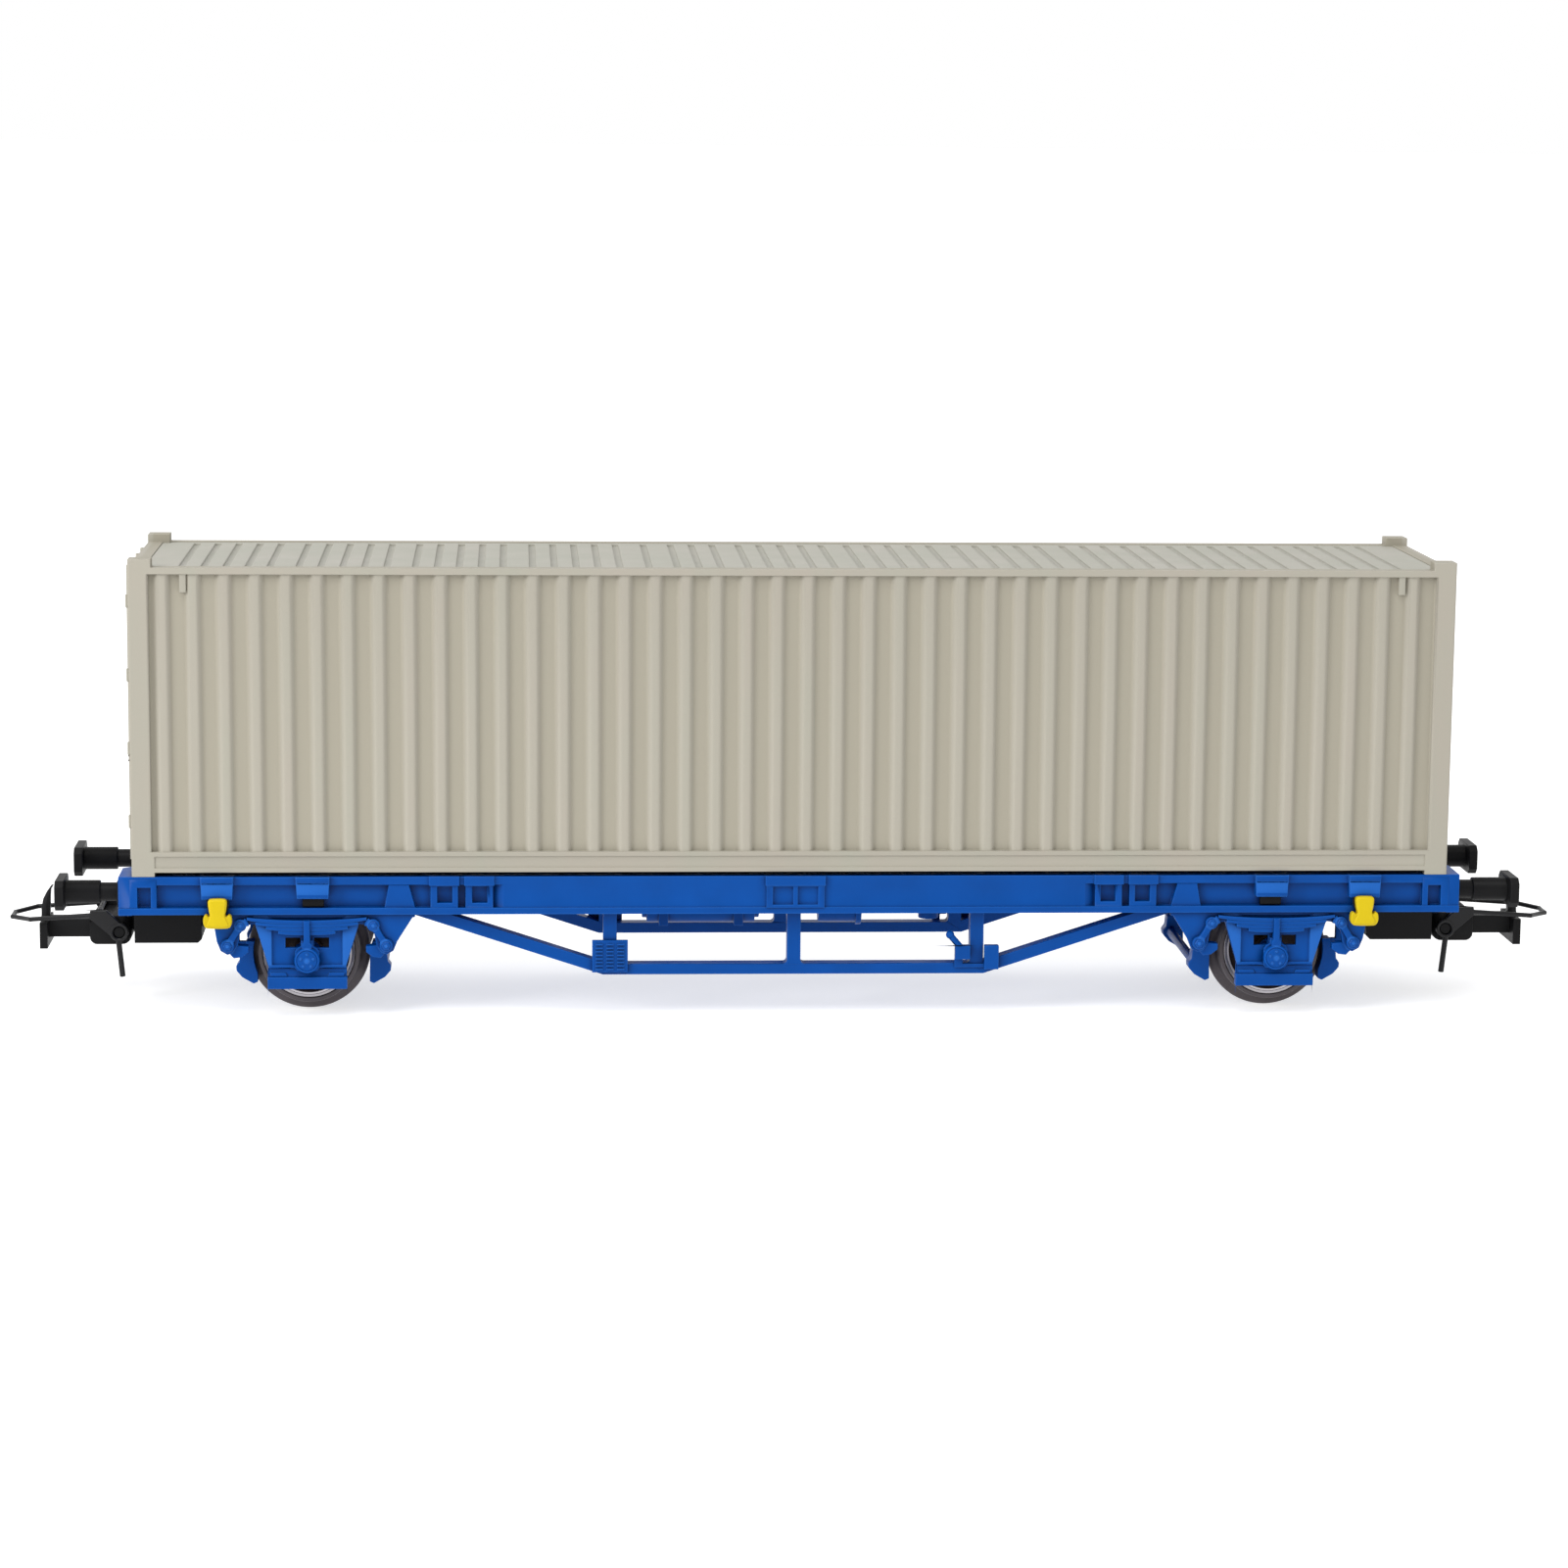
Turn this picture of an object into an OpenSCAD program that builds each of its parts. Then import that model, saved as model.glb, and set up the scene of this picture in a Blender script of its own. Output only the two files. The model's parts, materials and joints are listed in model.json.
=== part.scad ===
// Two-axle container flat wagon in 1:87 scale, loaded with a 40 ft high-cube container. Millimetres.
// X runs along the wagon, Y across it and Z up. Z = 0 is the lowest point of the wheel flanges.
// End "a" lies at -X and end "b" at +X; the "right" side lies at -Y and the "left" side at +Y.

/* [Wagon body] */
// Length over the headstocks
frame_l = 143; // [128:0.5:172]
// Width over the side sills
frame_w = 28; // [27:0.5:34]
// Height of the side sills
sill_h = 4.05; // [3.4:0.05:4.9]
// Thickness of the sill webs
web_t = 0.8; // [0.5:0.05:1.2]
// Depth of the channel in the outside of a sill
channel_d = 0.8; // [0.4:0.05:1.2]
// Thickness of the upper sill flange
upper_t = 0.9; // [0.5:0.05:1.2]
// Thickness of the lower sill flange
lower_t = 0.7; // [0.4:0.05:1]
// How far the lower flange stands out past the upper one
lower_lip = 0.15; // [0.05:0.05:0.4]
// Half length of the plain middle of a sill
plain_half = 31; // [20:0.5:32]
// Thickness of the headstocks
headstock_t = 1.4; // [1:0.1:2.5]
// How far the middle of a headstock is set back between the buffers
headstock_recess = 0.9; // [0:0.05:0.9]
// Thickness of the moulded floor
floor_t = 0.7; // [0.5:0.05:1.2]
// Thickness of the steel ballast plate
ballast_t = 1; // [0.5:0.1:2]
// Length of the steel ballast plate
ballast_l = 118; // [60:1:124]
// Width of the steel ballast plate
ballast_w = 20; // [10:0.5:23]
// Thickness of the deck plate
deck_t = 0.55; // [0.4:0.05:1]
// Gap around the deck plate
deck_gap = 0.1; // [0.05:0.01:0.3]

/* [Container] */
// Length of the container
box_l = 140.1; // [80:0.1:141]
// Width of the container
box_w = 28; // [24:0.1:28.4]
// Height from the underside of the corner posts to the top of the roof rails
box_h = 32.74; // [20:0.02:40]
// Height of the corner castings above the roof rails
casting_h = 0.87; // [0.3:0.01:1.5]
// Edge length of a corner casting
casting_w = 2.4; // [2:0.1:3.5]
// Width of a corner post
post_w = 2.1; // [1.8:0.1:2.4]
// Gap under the bottom rails
rail_lift = 0.45; // [0.2:0.05:1]
// Height of a bottom rail
rail_h = 2.2; // [1.5:0.1:4]
// Height of a roof rail
roof_rail_h = 0.7; // [0.5:0.05:1.5]
// Width of the rails
rail_w = 1.6; // [1.4:0.1:2.5]
// Spacing of the ribs on the side walls
rib_pitch = 3.22; // [2.5:0.01:6]
// Number of ribs on a side wall
rib_count = 42; // [10:1:42]
// How far the ribs sit off the middle, towards the door end
rib_shift = 0.5; // [0:0.05:0.5]
// Width of a rib's outer face
rib_face = 0.9; // [0.4:0.05:1.2]
// Width of a rib's slanted flank
rib_flank = 0.42; // [0.2:0.02:0.6]
// Depth of the ribs
rib_d = 0.5; // [0.2:0.05:0.7]
// How far the ribs lie behind the rails
rib_inset = 0.2; // [0.1:0.05:0.5]
// Thickness of the walls behind the ribs
wall_t = 0.7; // [0.4:0.05:1]
// Spacing of the grooves across the roof
groove_pitch = 2.3; // [2:0.1:3]
// Diameter of the locating pegs on the sills
peg_d = 1; // [0.6:0.05:1.2]
// Height of the locating pegs
peg_h = 0.9; // [0.4:0.05:1.5]
// Clearance around a peg in its corner casting
peg_gap = 0.06; // [0.02:0.01:0.1]
// Diameter of the lock rods on the doors
lock_rod_d = 0.6; // [0.4:0.05:0.8]

/* [Running gear] */
// Distance between the axles
wheelbase = 103.5; // [90:0.5:116]
// Tread diameter of a wheel
tread_d = 11; // [10:0.1:13.5]
// Depth of a wheel flange
flange_h = 1; // [0.6:0.05:1.2]
// Width of a flange at its root
flange_w = 0.8; // [0.5:0.05:1]
// Width of a wheel
wheel_w = 2.8; // [2.4:0.1:3]
// Distance between the backs of the wheels
back_to_back = 14.4; // [13:0.1:14.6]
// Inner diameter of a tyre
tyre_bore = 9.3; // [8.4:0.1:9.4]
// Diameter of a wheel hub
hub_d = 3; // [2.6:0.1:4]
// Diameter of an axle
axle_d = 2; // [1.6:0.1:2.4]
// Diameter of an axle's journals
journal_d = 1; // [0.6:0.05:1.2]
// Radial clearance of a journal in its bearing cup
journal_gap = 0.05; // [0.02:0.01:0.08]
// Length of an axle over its points
axle_l = 26; // [25.2:0.1:26.2]
// Outer diameter of a bearing cup
cup_d = 1.9; // [1.8:0.05:2.2]
// Gap between a wheel flange and the floor above it
wheel_gap = 0.2; // [0.15:0.05:1]
// Thickness of an axle guard plate
guard_t = 1; // [0.7:0.05:1.2]
// Gap between a brake shoe and the flange beside it
shoe_gap = 0.4; // [0.3:0.05:0.8]

/* [Truss] */
// Distance from the middle to the outer queen posts
post_x = 19.67; // [15:0.1:21]
// Width of a queen post
post_t = 1.45; // [1:0.05:2.5]
// Height of the bottom chord
chord_h = 1.15; // [0.8:0.05:2]
// Upright thickness of a diagonal
diagonal_h = 1.3; // [0.9:0.05:2]
// Depth of the truss below the sills
truss_drop = 6.95; // [5:0.05:8]
// Thickness of the truss across the wagon
truss_t = 1.8; // [1:0.1:2.4]

/* [Buffers and couplers] */
// Distance between the buffer centres
buffer_span = 20.1; // [18:0.1:21]
// Reach of the buffers past the headstocks
buffer_reach = 6.8; // [6.4:0.1:9]
// Width of a buffer head
head_w = 6; // [4:0.1:7]
// Height of a buffer head
head_h = 3.2; // [2.9:0.1:4.2]
// Diameter of a buffer's sleeve
sleeve_d = 2.5; // [2.2:0.05:3]
// Diameter of a buffer's base
base_d = 2; // [1.7:0.05:2.8]
// Height of the coupler pivots above the flange bottoms
coupler_z = 7.55; // [7.2:0.05:8]
// Diameter of the bow's trunnions
trunnion_d = 1.2; // [0.8:0.05:1.3]
// Radial clearance of the bow on its trunnions
trunnion_gap = 0.05; // [0.02:0.01:0.1]
// Diameter of the bow's wire
bow_wire = 0.5; // [0.3:0.05:0.6]
// Diameter of the peg on which a coupler swings
pivot_d = 1.2; // [0.8:0.05:1.4]
// Radial clearance of a coupler on its peg
pivot_gap = 0.05; // [0.02:0.01:0.1]

/* [Hidden] */
$fn = 48;

blue = [0.07, 0.29, 0.62];
black = [0.06, 0.06, 0.07];
yellow = [0.95, 0.85, 0.08];
resin = [0.7, 0.68, 0.6];

// Heights, from the wheels up
wheel_r = tread_d / 2 + flange_h;
axle_z = wheel_r;
floor_z = 2 * wheel_r + wheel_gap;
ballast_z = floor_z + floor_t;
deck_z = ballast_z + ballast_t;
sill_top = deck_z + deck_t;
sill_bottom = sill_top - sill_h;
upper_z = sill_top - upper_t;
lower_z = sill_bottom + lower_t;

// Faces of the body, as distances from the middle
end_x = frame_l / 2;
side_y = frame_w / 2;
web_y = side_y - channel_d;
inner_y = web_y - web_t;
lower_y = side_y + lower_lip;

// Faces of the running gear
axle_x = wheelbase / 2;
wheel_back = back_to_back / 2;
wheel_face = wheel_back + wheel_w;
guard_y = side_y - 0.2;
guard_in = guard_y - guard_t;
cup_in = guard_in - 1.6;
cup_bore = journal_d / 2 + journal_gap;
cup_end = axle_l / 2 + 0.1;

// Faces of the truss
truss_y = inner_y - 0.1;
truss_in = truss_y - truss_t;
chord_z = sill_bottom - truss_drop;
chord_half = post_x + post_t / 2;
truss_foot = axle_x - 11;

// Container
box_x = box_l / 2;
box_y = box_w / 2;
box_z = sill_top;
rail_z = box_z + rail_lift;
wall_z = rail_z + rail_h;
box_top = box_z + box_h;
wall_top = box_top - roof_rail_h;
rib_y = box_y - rib_inset;
panel_y = rib_y - rib_d;
wall_in = panel_y - wall_t;
rib_foot = rib_face / 2 + rib_flank;
// No more ribs than fit between the corner posts
side_ribs = min(rib_count, 1 + floor(2 * (box_x - post_w - rib_shift - rib_foot) / rib_pitch));
first_rib = -rib_pitch * (side_ribs - 1) / 2 - rib_shift;
last_rib = first_rib + rib_pitch * (side_ribs - 1);
hole_x = box_x - casting_w / 2;
hole_y = box_y - casting_w / 2;
roof_edge = box_y - rail_w;
roof_z = box_top - 0.35;
ridge_h = 0.28;
groove_w = 0.7;
// First groove and number of grooves in each roof panel
roof_panels = [
    [-64.6, 5], [-52.4, 5], [-40.2, 5], [-27.9, 5], [-15.6, 1], [-12.6, 3],
    [-5.1, 5], [6.9, 5], [18.95, 5], [31, 5], [43.05, 5], [55.1, 5]
];
door_x = box_x - 0.45;
door_t = 0.7;

// Couplers, as distances from the middle
guide_out = end_x - 0.8;
guide_in = end_x - 8;
guide_w = 9.4;
guide_top = coupler_z + 2.35;
guide_floor = coupler_z - 1.05;
pivot_x = end_x - 5.9;
cheek_in = end_x - 0.3;
cheek_out = end_x + 4.1;
cheek_y = 3.3;
trunnion_x = end_x + 0.9;
plate_x = end_x + 8.65;
plate_t = 0.85;
bow_x = end_x + 12.8;
bow_in = cheek_y + 0.12;
bow_out = bow_in + 0.65;

// ---- Shapes that several sub-parts use ----

// A box between two limits on each axis
module block(x, y, z) {
    translate([x[0], y[0], z[0]])
        cube([x[1] - x[0], y[1] - y[0], z[1] - z[0]]);
}

// An outline in X and Z, made solid between two distances towards -Y
module slab(from, to) {
    translate([0, -from, 0])
        rotate([90, 0, 0])
            linear_extrude(to - from)
                children();
}

// A bar across the wagon between two distances towards -Y
module crosswise(x, z, r, from, to) {
    translate([x, -from, z])
        rotate([90, 0, 0])
            cylinder(r = r, h = to - from);
}

// A bar along X
module lengthwise(x, y, z, r) {
    translate([x[0], y, z])
        rotate([0, 90, 0])
            cylinder(r = r, h = x[1] - x[0]);
}

// A flat link between two points, as an outline in X and Z
module link(p, q, w) {
    run = q - p;
    translate(p)
        rotate(atan2(run[1], run[0]))
            translate([0, -w / 2])
                square([norm(run), w]);
}

// A straight bar between two points in X and Z, at one distance across
module strut(p, q, r, y) {
    run = [q[0] - p[0], q[1] - p[1]];
    translate([p[0], y, p[1]])
        rotate([0, atan2(run[0], run[1]), 0])
            cylinder(r = r, h = norm(run));
}

module rounded_rect(w, h, r) {
    for (x = [-1, 1], y = [-1, 1])
        translate([x * (w / 2 - r), y * (h / 2 - r)])
            circle(r);
    square([w - 2 * r, h], center = true);
    square([w, h - 2 * r], center = true);
}

module at_end(end) {
    mirror([end == "a" ? 1 : 0, 0, 0])
        children();
}

module at_side(side) {
    mirror([0, side == "left" ? 1 : 0, 0])
        children();
}

module both_ends() {
    children();
    mirror([1, 0, 0])
        children();
}

module both_sides() {
    children();
    mirror([0, 1, 0])
        children();
}

// ---- Wagon body ----

// A raised frame on a sill with windows in it; each window is a pair of X limits
module pocket(x, z, back, face, windows, window_z) {
    difference() {
        block(x, [-face, -back], z);
        for (w = windows)
            block(w, [-face - 1, -back + 0.01], window_z);
    }
}

// A plate folded down over the upper flange
module flap(x, w, drop, face) {
    slab(web_y, face)
        polygon([
            [x - w / 2, sill_top + 0.05], [x + w / 2, sill_top + 0.05],
            [x + w / 2 - 0.15, sill_top - drop], [x - w / 2 + 0.15, sill_top - drop]
        ]);
}

module sill() {
    block([-end_x, end_x], [-web_y, -inner_y], [sill_bottom, sill_top]);
    block([-end_x, end_x], [-lower_y, -inner_y], [sill_bottom, lower_z]);
    block([-end_x, end_x], [-side_y, -inner_y], [upper_z, sill_top]);
    translate([0, 0, lower_z - 0.1])
        linear_extrude(upper_z - lower_z + 0.2)
            polygon([
                [-plain_half - 1.5, -web_y + 0.1], [-plain_half, -side_y],
                [plain_half, -side_y], [plain_half + 1.5, -web_y + 0.1]
            ]);
}

// Lashing pockets, flaps and the tapered gusset on one half of a sill
module sill_fittings() {
    pocket([end_x - 4, end_x - 1.2], [lower_z - 0.05, sill_top - 0.25], web_y, side_y + 0.05,
           [[end_x - 3.4, end_x - 2]], [lower_z, sill_top - 1.15]);
    for (x = [plain_half + 1.1, plain_half + 4.8]) {
        pocket([x, x + 2.9], [lower_z - 0.05, sill_top - 0.6], web_y, side_y + 0.05,
               [[x + 0.6, x + 2.2]], [lower_z + 0.5, sill_top - 1.05]);
        block([x - 0.15, x + 3.05], [-side_y - 0.3, -web_y], [sill_top - 0.95, sill_top + 0.05]);
    }
    flap(axle_x + 9.4, 3.5, 2.4, side_y + 0.5);
    flap(axle_x - 0.65, 3.6, 2.3, side_y + 0.5);
    slab(web_y, side_y - 0.1)
        polygon([
            [axle_x - 11.45, lower_z - 0.1], [axle_x - 8.2, lower_z - 0.1],
            [axle_x - 8.65, upper_z + 0.05], [axle_x - 10.75, upper_z + 0.05]
        ]);
}

module frame() {
    color(blue)
        difference() {
            union() {
                both_sides() {
                    sill();
                    both_ends()
                        sill_fittings();
                    pocket([-3.1, 3.1], [lower_z - 0.05, sill_top - 0.9], side_y, side_y + 0.35,
                           [[-2.4, -0.25], [0.25, 2.4]], [lower_z + 0.3, sill_top - 1.1]);
                    block([-3.2, 3.2], [-side_y - 0.45, -side_y], [sill_top - 1, sill_top + 0.05]);
                    for (x = [-hole_x, hole_x])
                        translate([x, -hole_y, upper_z])
                            cylinder(d = peg_d, h = sill_top + peg_h - upper_z);
                    // Centre sills
                    block([-end_x, end_x], [-3.8, -3], [sill_bottom + 0.4, floor_z + 0.1]);
                }
                both_ends() {
                    block([end_x - headstock_t, end_x], [-side_y, side_y], [sill_bottom - 0.1, sill_top]);
                    // Cross bearers at the posts, the axle guards and the coupler mountings
                    for (x = [post_x, truss_foot - 2, end_x - 9.7])
                        block([x - 0.4, x + 0.4], [-truss_in + 0.1, truss_in - 0.1], [sill_bottom, floor_z + 0.1]);
                }
                block([-end_x, end_x], [-inner_y, inner_y], [floor_z, ballast_z]);
            }
            // The headstocks are set back between the buffers
            both_ends()
                translate([end_x, 0, sill_bottom - 1])
                    linear_extrude(sill_top - sill_bottom + 2)
                        polygon([
                            [-headstock_recess, -7.8], [0, -8.5], [1, -8.5],
                            [1, 8.5], [0, 8.5], [-headstock_recess, 7.8]
                        ]);
            // Holes for the buffer spigots
            both_sides()
                both_ends()
                    lengthwise([end_x - headstock_t - 1, end_x + 1], -buffer_span / 2, buffer_z(), spigot_r());
        }
}

function buffer_z() = sill_bottom + 1.77;
function spigot_r() = 0.8;

module deck() {
    long = end_x - headstock_t - deck_gap;
    wide = inner_y - deck_gap;
    color(blue)
        difference() {
            union() {
                block([-long, long], [-wide, wide], [deck_z, sill_top - 0.1]);
                // Planks that stand a little proud across the deck
                for (x = [-60 : 10 : 60])
                    block([x - 4.8, x + 4.8], [-wide + 1, wide - 1], [sill_top - 0.2, sill_top]);
            }
            // Finger notches at the ends for lifting the plate out, and room for the pegs
            both_ends() {
                translate([long, 0, deck_z - 1])
                    cylinder(r = 2, h = deck_t + 2);
                both_sides()
                    translate([hole_x, -hole_y, deck_z - 1])
                        cylinder(r = peg_d / 2 + deck_gap, h = deck_t + 2);
            }
        }
}

module ballast_weight() {
    color([0.5, 0.5, 0.52])
        block([-ballast_l / 2, ballast_l / 2], [-ballast_w / 2, ballast_w / 2], [ballast_z, deck_z]);
}

// ---- Truss and what hangs on it ----

// One outline with the bays between the posts cut out of it
module truss(side) {
    foot = truss_foot + 0.9;
    slope = (sill_bottom - chord_z) / (foot - chord_half);
    bay_z = chord_z + chord_h;
    bay_w = post_x - post_t;
    bay_h = sill_bottom - bay_z;
    color(blue)
        at_side(side)
            slab(truss_in, truss_y)
                difference() {
                    polygon([
                        [-foot, floor_z], [-foot, sill_bottom], [-chord_half, chord_z],
                        [chord_half, chord_z], [foot, sill_bottom], [foot, floor_z]
                    ]);
                    for (m = [-1, 1]) {
                        translate([m * post_x / 2, bay_z + bay_h / 2])
                            rounded_rect(bay_w, bay_h, 0.4);
                        polygon([
                            [m * chord_half, sill_bottom], [m * chord_half, chord_z + diagonal_h],
                            [m * (foot - diagonal_h / slope), sill_bottom]
                        ]);
                    }
                }
}

module load_panel(side) {
    color(blue)
        at_side(side) {
            block([-post_x - 1.9, -post_x + 1.9], [-truss_y - 0.35, -truss_y], [chord_z + 0.3, chord_z + 3.8]);
            // Blank raised fields on the panel
            for (row = [0 : 2])
                block([-post_x - 1.5, -post_x + 1.5], [-truss_y - 0.5, -truss_y - 0.3],
                      [chord_z + 0.7 + 1.05 * row, chord_z + 1.4 + 1.05 * row]);
        }
}

module brake_changeover(side) {
    front = truss_y + 0.9;
    color(blue)
        at_side(side) {
            block([post_x - 2.4, post_x - post_t / 2 - 0.05], [-front, -truss_y], [chord_z + 1.7, chord_z + 3.2]);
            // Foot strip that joins the two boxes in front of the post
            block([post_x - 2.4, post_x + 2.3], [-truss_y - 0.2, -truss_y], [chord_z + 0.7, chord_z + 1.1]);
            block([post_x - 2.4, post_x - 1.5], [-truss_y - 0.2, -truss_y], [chord_z + 0.8, chord_z + 1.8]);
            block([post_x + post_t / 2 + 0.05, post_x + 2.3], [-front, -truss_y], [chord_z + 0.6, chord_z + 3.2]);
            // Lever with a round knob
            strut([post_x - 1.3, chord_z + 2.4], [post_x - 2.85, chord_z + 4.2], 0.35, -front + 0.35);
            translate([post_x - 2.95, -front + 0.35, chord_z + 4.35])
                sphere(r = 0.45);
        }
}

module air_reservoir() {
    z = sill_bottom - 1.75;
    r = 1.85;
    color(blue) {
        lengthwise([-15.4, -3.6], 0, z, r);
        lengthwise([-15.9, -3.1], 0, z, r - 0.5);
        for (x = [-13.6, -5.4])
            block([x - 0.5, x + 0.5], [-r - 0.1, r + 0.1], [z - r - 0.1, z + 0.3]);
        for (x = [-13.6, -5.4])
            block([x - 0.4, x + 0.4], [-1, 1], [z, floor_z]);
    }
}

module brake_cylinder() {
    z = sill_bottom - 1.75;
    r = 1.85;
    color(blue) {
        lengthwise([3.4, 7.6], 0, z, r);
        lengthwise([7.5, 8.1], 0, z, r + 0.3);
        lengthwise([8, 10.3], 0, z, 0.7);
        block([4.4, 5.4], [-1, 1], [z, floor_z]);
        block([9, 10], [-0.7, 0.7], [z, floor_z]);
    }
}

module distributor_valve() {
    z = sill_bottom - 3.2;
    color(blue) {
        block([13.6, 17.6], [-1.6, 1.6], [z + 1, z + 2.6]);
        translate([15.6, 0, z])
            cylinder(r = 1.1, h = 2);
        block([14.9, 16.3], [-1, 1], [z + 2, floor_z]);
    }
}

// ---- Running gear; each shape is drawn with its axle at X = 0 and then set on the wheelbase ----

module at_axle(end, side = "right") {
    at_end(end)
        translate([axle_x, 0, 0])
            at_side(side)
                children();
}

module axle_guard(end, side) {
    color(blue)
        at_axle(end, side)
            difference() {
                union() {
                    slab(guard_in, guard_y - 0.35)
                        polygon([
                            [-5.8, sill_bottom], [-4.1, axle_z - 0.7], [-4.2, axle_z - 3.2],
                            [4.2, axle_z - 3.2], [4.1, axle_z - 0.7], [5.8, sill_bottom]
                        ]);
                    // Tie bar, the ledge above it and the rims of the plate
                    block([-4.2, 4.2], [-guard_y, -guard_in], [axle_z - 3.2, axle_z - 1.9]);
                    block([-4.1, 4.1], [-guard_y + 0.1, -guard_in], [axle_z - 0.95, axle_z - 0.6]);
                    slab(guard_in, guard_y - 0.1)
                        for (m = [0, 1])
                            mirror([m, 0])
                                polygon([
                                    [5.8, sill_bottom], [4.1, axle_z - 0.7],
                                    [3.7, axle_z - 0.7], [3.7, sill_bottom]
                                ]);
                    // Brackets that carry the spring shackles and the brake hangers
                    slab(guard_in, guard_y - 0.1) {
                        polygon([
                            [-5, sill_bottom], [-5, axle_z + 3.9], [-6.3, axle_z + 3.7], [-7.1, axle_z + 2.7],
                            [-7.3, axle_z + 1.5], [-7.8, axle_z + 0.7], [-8.4, axle_z + 0.5],
                            [-9.1, axle_z + 0.9], [-9.5, axle_z + 1.9], [-11.4, sill_bottom]
                        ]);
                        polygon([
                            [5, sill_bottom], [5, axle_z + 3.9], [6.3, axle_z + 3.7], [7.1, axle_z + 2.7],
                            [7.3, axle_z + 1.5], [7.8, axle_z + 0.7], [8.4, axle_z + 0.5],
                            [9.1, axle_z + 0.9], [9.5, axle_z + 1.9], [10, sill_bottom]
                        ]);
                    }
                    // Top strip under the sill
                    block([-11.4, 10], [-guard_y + 0.1, -guard_in], [sill_bottom - 0.4, sill_bottom]);
                    // Boss behind the plate for the bearing cup
                    crosswise(0, axle_z, cup_d / 2 + 0.7, cup_in + 0.3, guard_in + 0.1);
                }
                crosswise(0, axle_z, cup_d / 2, cup_in - 1, guard_y + 1);
                // Openings over the axle box, on both sides of the spring buckle
                for (x = [[-2.3, -0.7], [0.7, 2.3]])
                    block(x, [-guard_y - 1, -guard_in + 1], [axle_z + 1.2, axle_z + 2.3]);
            }
}

module bearing_cup(end, side) {
    color([0.8, 0.65, 0.3])
        at_axle(end, side)
            difference() {
                union() {
                    crosswise(0, axle_z, cup_d / 2, cup_in + 0.2, guard_y - 0.05);
                    crosswise(0, axle_z, cup_d / 2 + 0.35, cup_in, cup_in + 0.3);
                }
                crosswise(0, axle_z, cup_bore, cup_in - 1, cup_end);
            }
}

module axle_box(end, side) {
    color(blue)
        at_axle(end, side) {
            slab(guard_y, guard_y + 0.45)
                polygon([
                    [-1.8, axle_z - 1.3], [-1.3, axle_z - 1.8], [1.3, axle_z - 1.8], [1.8, axle_z - 1.3],
                    [1.8, axle_z + 0.9], [1, axle_z + 1.6], [1, axle_z + 2.1], [-1, axle_z + 2.1],
                    [-1, axle_z + 1.6], [-1.8, axle_z + 0.9]
                ]);
            crosswise(0, axle_z, 1.31, guard_y + 0.4, guard_y + 0.75);
            crosswise(0, axle_z, 0.75, guard_y + 0.7, guard_y + 0.95);
            for (a = [0, 90, 180, 270])
                crosswise(1.0 * cos(a + 45), axle_z + 1.0 * sin(a + 45), 0.16, guard_y + 0.7, guard_y + 0.85);
        }
}

// One spring leaf: a shallow arc that rises towards its ends
module leaf(half, level) {
    arc_r = 31;
    leaf_t = 0.3;
    top = sill_bottom - 1.07 - leaf_t * level;
    intersection() {
        translate([0, top + arc_r])
            difference() {
                circle(r = arc_r + leaf_t, $fn = 360);
                circle(r = arc_r, $fn = 360);
            }
        translate([-half, top - 2])
            square([2 * half, 4]);
    }
}

module leaf_spring(end, side) {
    front = guard_y + 0.55;
    eye_z = sill_bottom - 0.75;
    color(blue)
        at_axle(end, side) {
            for (level = [0 : 2])
                slab(guard_y, front - 0.08 * level)
                    leaf(6.1 - 1.35 * level, level);
            // Buckle with its pillar down to the axle box
            block([-0.42, 0.42], [-front - 0.2, -guard_y], [axle_z + 2.1, sill_bottom - 0.5]);
            block([-0.9, 0.9], [-front - 0.1, -guard_y], [sill_bottom - 2.15, sill_bottom - 1.7]);
            // Spring eyes and shackles
            for (m = [-1, 1]) {
                crosswise(m * 6.2, eye_z, 0.4, guard_y - 0.1, front + 0.1);
                crosswise(m * 7.05, axle_z + 3.75, 0.72, guard_y - 0.1, front + 0.1);
                slab(guard_y - 0.1, front - 0.1) {
                    link([m * 6.2, eye_z], [m * 7.05, axle_z + 3.75], 0.6);
                    link([m * 7.05, axle_z + 3.75], [m * 8.4, axle_z + 1.5], 0.8);
                }
                crosswise(m * 8.4, axle_z + 1.5, 0.72, guard_y - 0.1, front + 0.1);
            }
        }
}

// Section of a tyre in distance from the axle and distance from the wheel's back
module tyre_section() {
    r = tread_d / 2;
    polygon([
        [tyre_bore / 2, 0], [wheel_r - 0.35, 0], [wheel_r - 0.08, 0.12], [wheel_r, 0.35],
        [wheel_r - 0.15, flange_w - 0.2], [r + 0.12, flange_w],
        [r, flange_w + 0.15], [r - 0.1, wheel_w - 0.15], [r - 0.25, wheel_w], [tyre_bore / 2, wheel_w]
    ]);
}

module on_axle(end) {
    at_axle(end)
        for (m = [0, 1])
            mirror([0, m, 0])
                translate([0, -wheel_back, axle_z])
                    rotate([90, 0, 0])
                        children();
}

module wheel_tyres(end) {
    color([0.3, 0.28, 0.28])
        on_axle(end)
            rotate_extrude()
                tyre_section();
}

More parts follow.
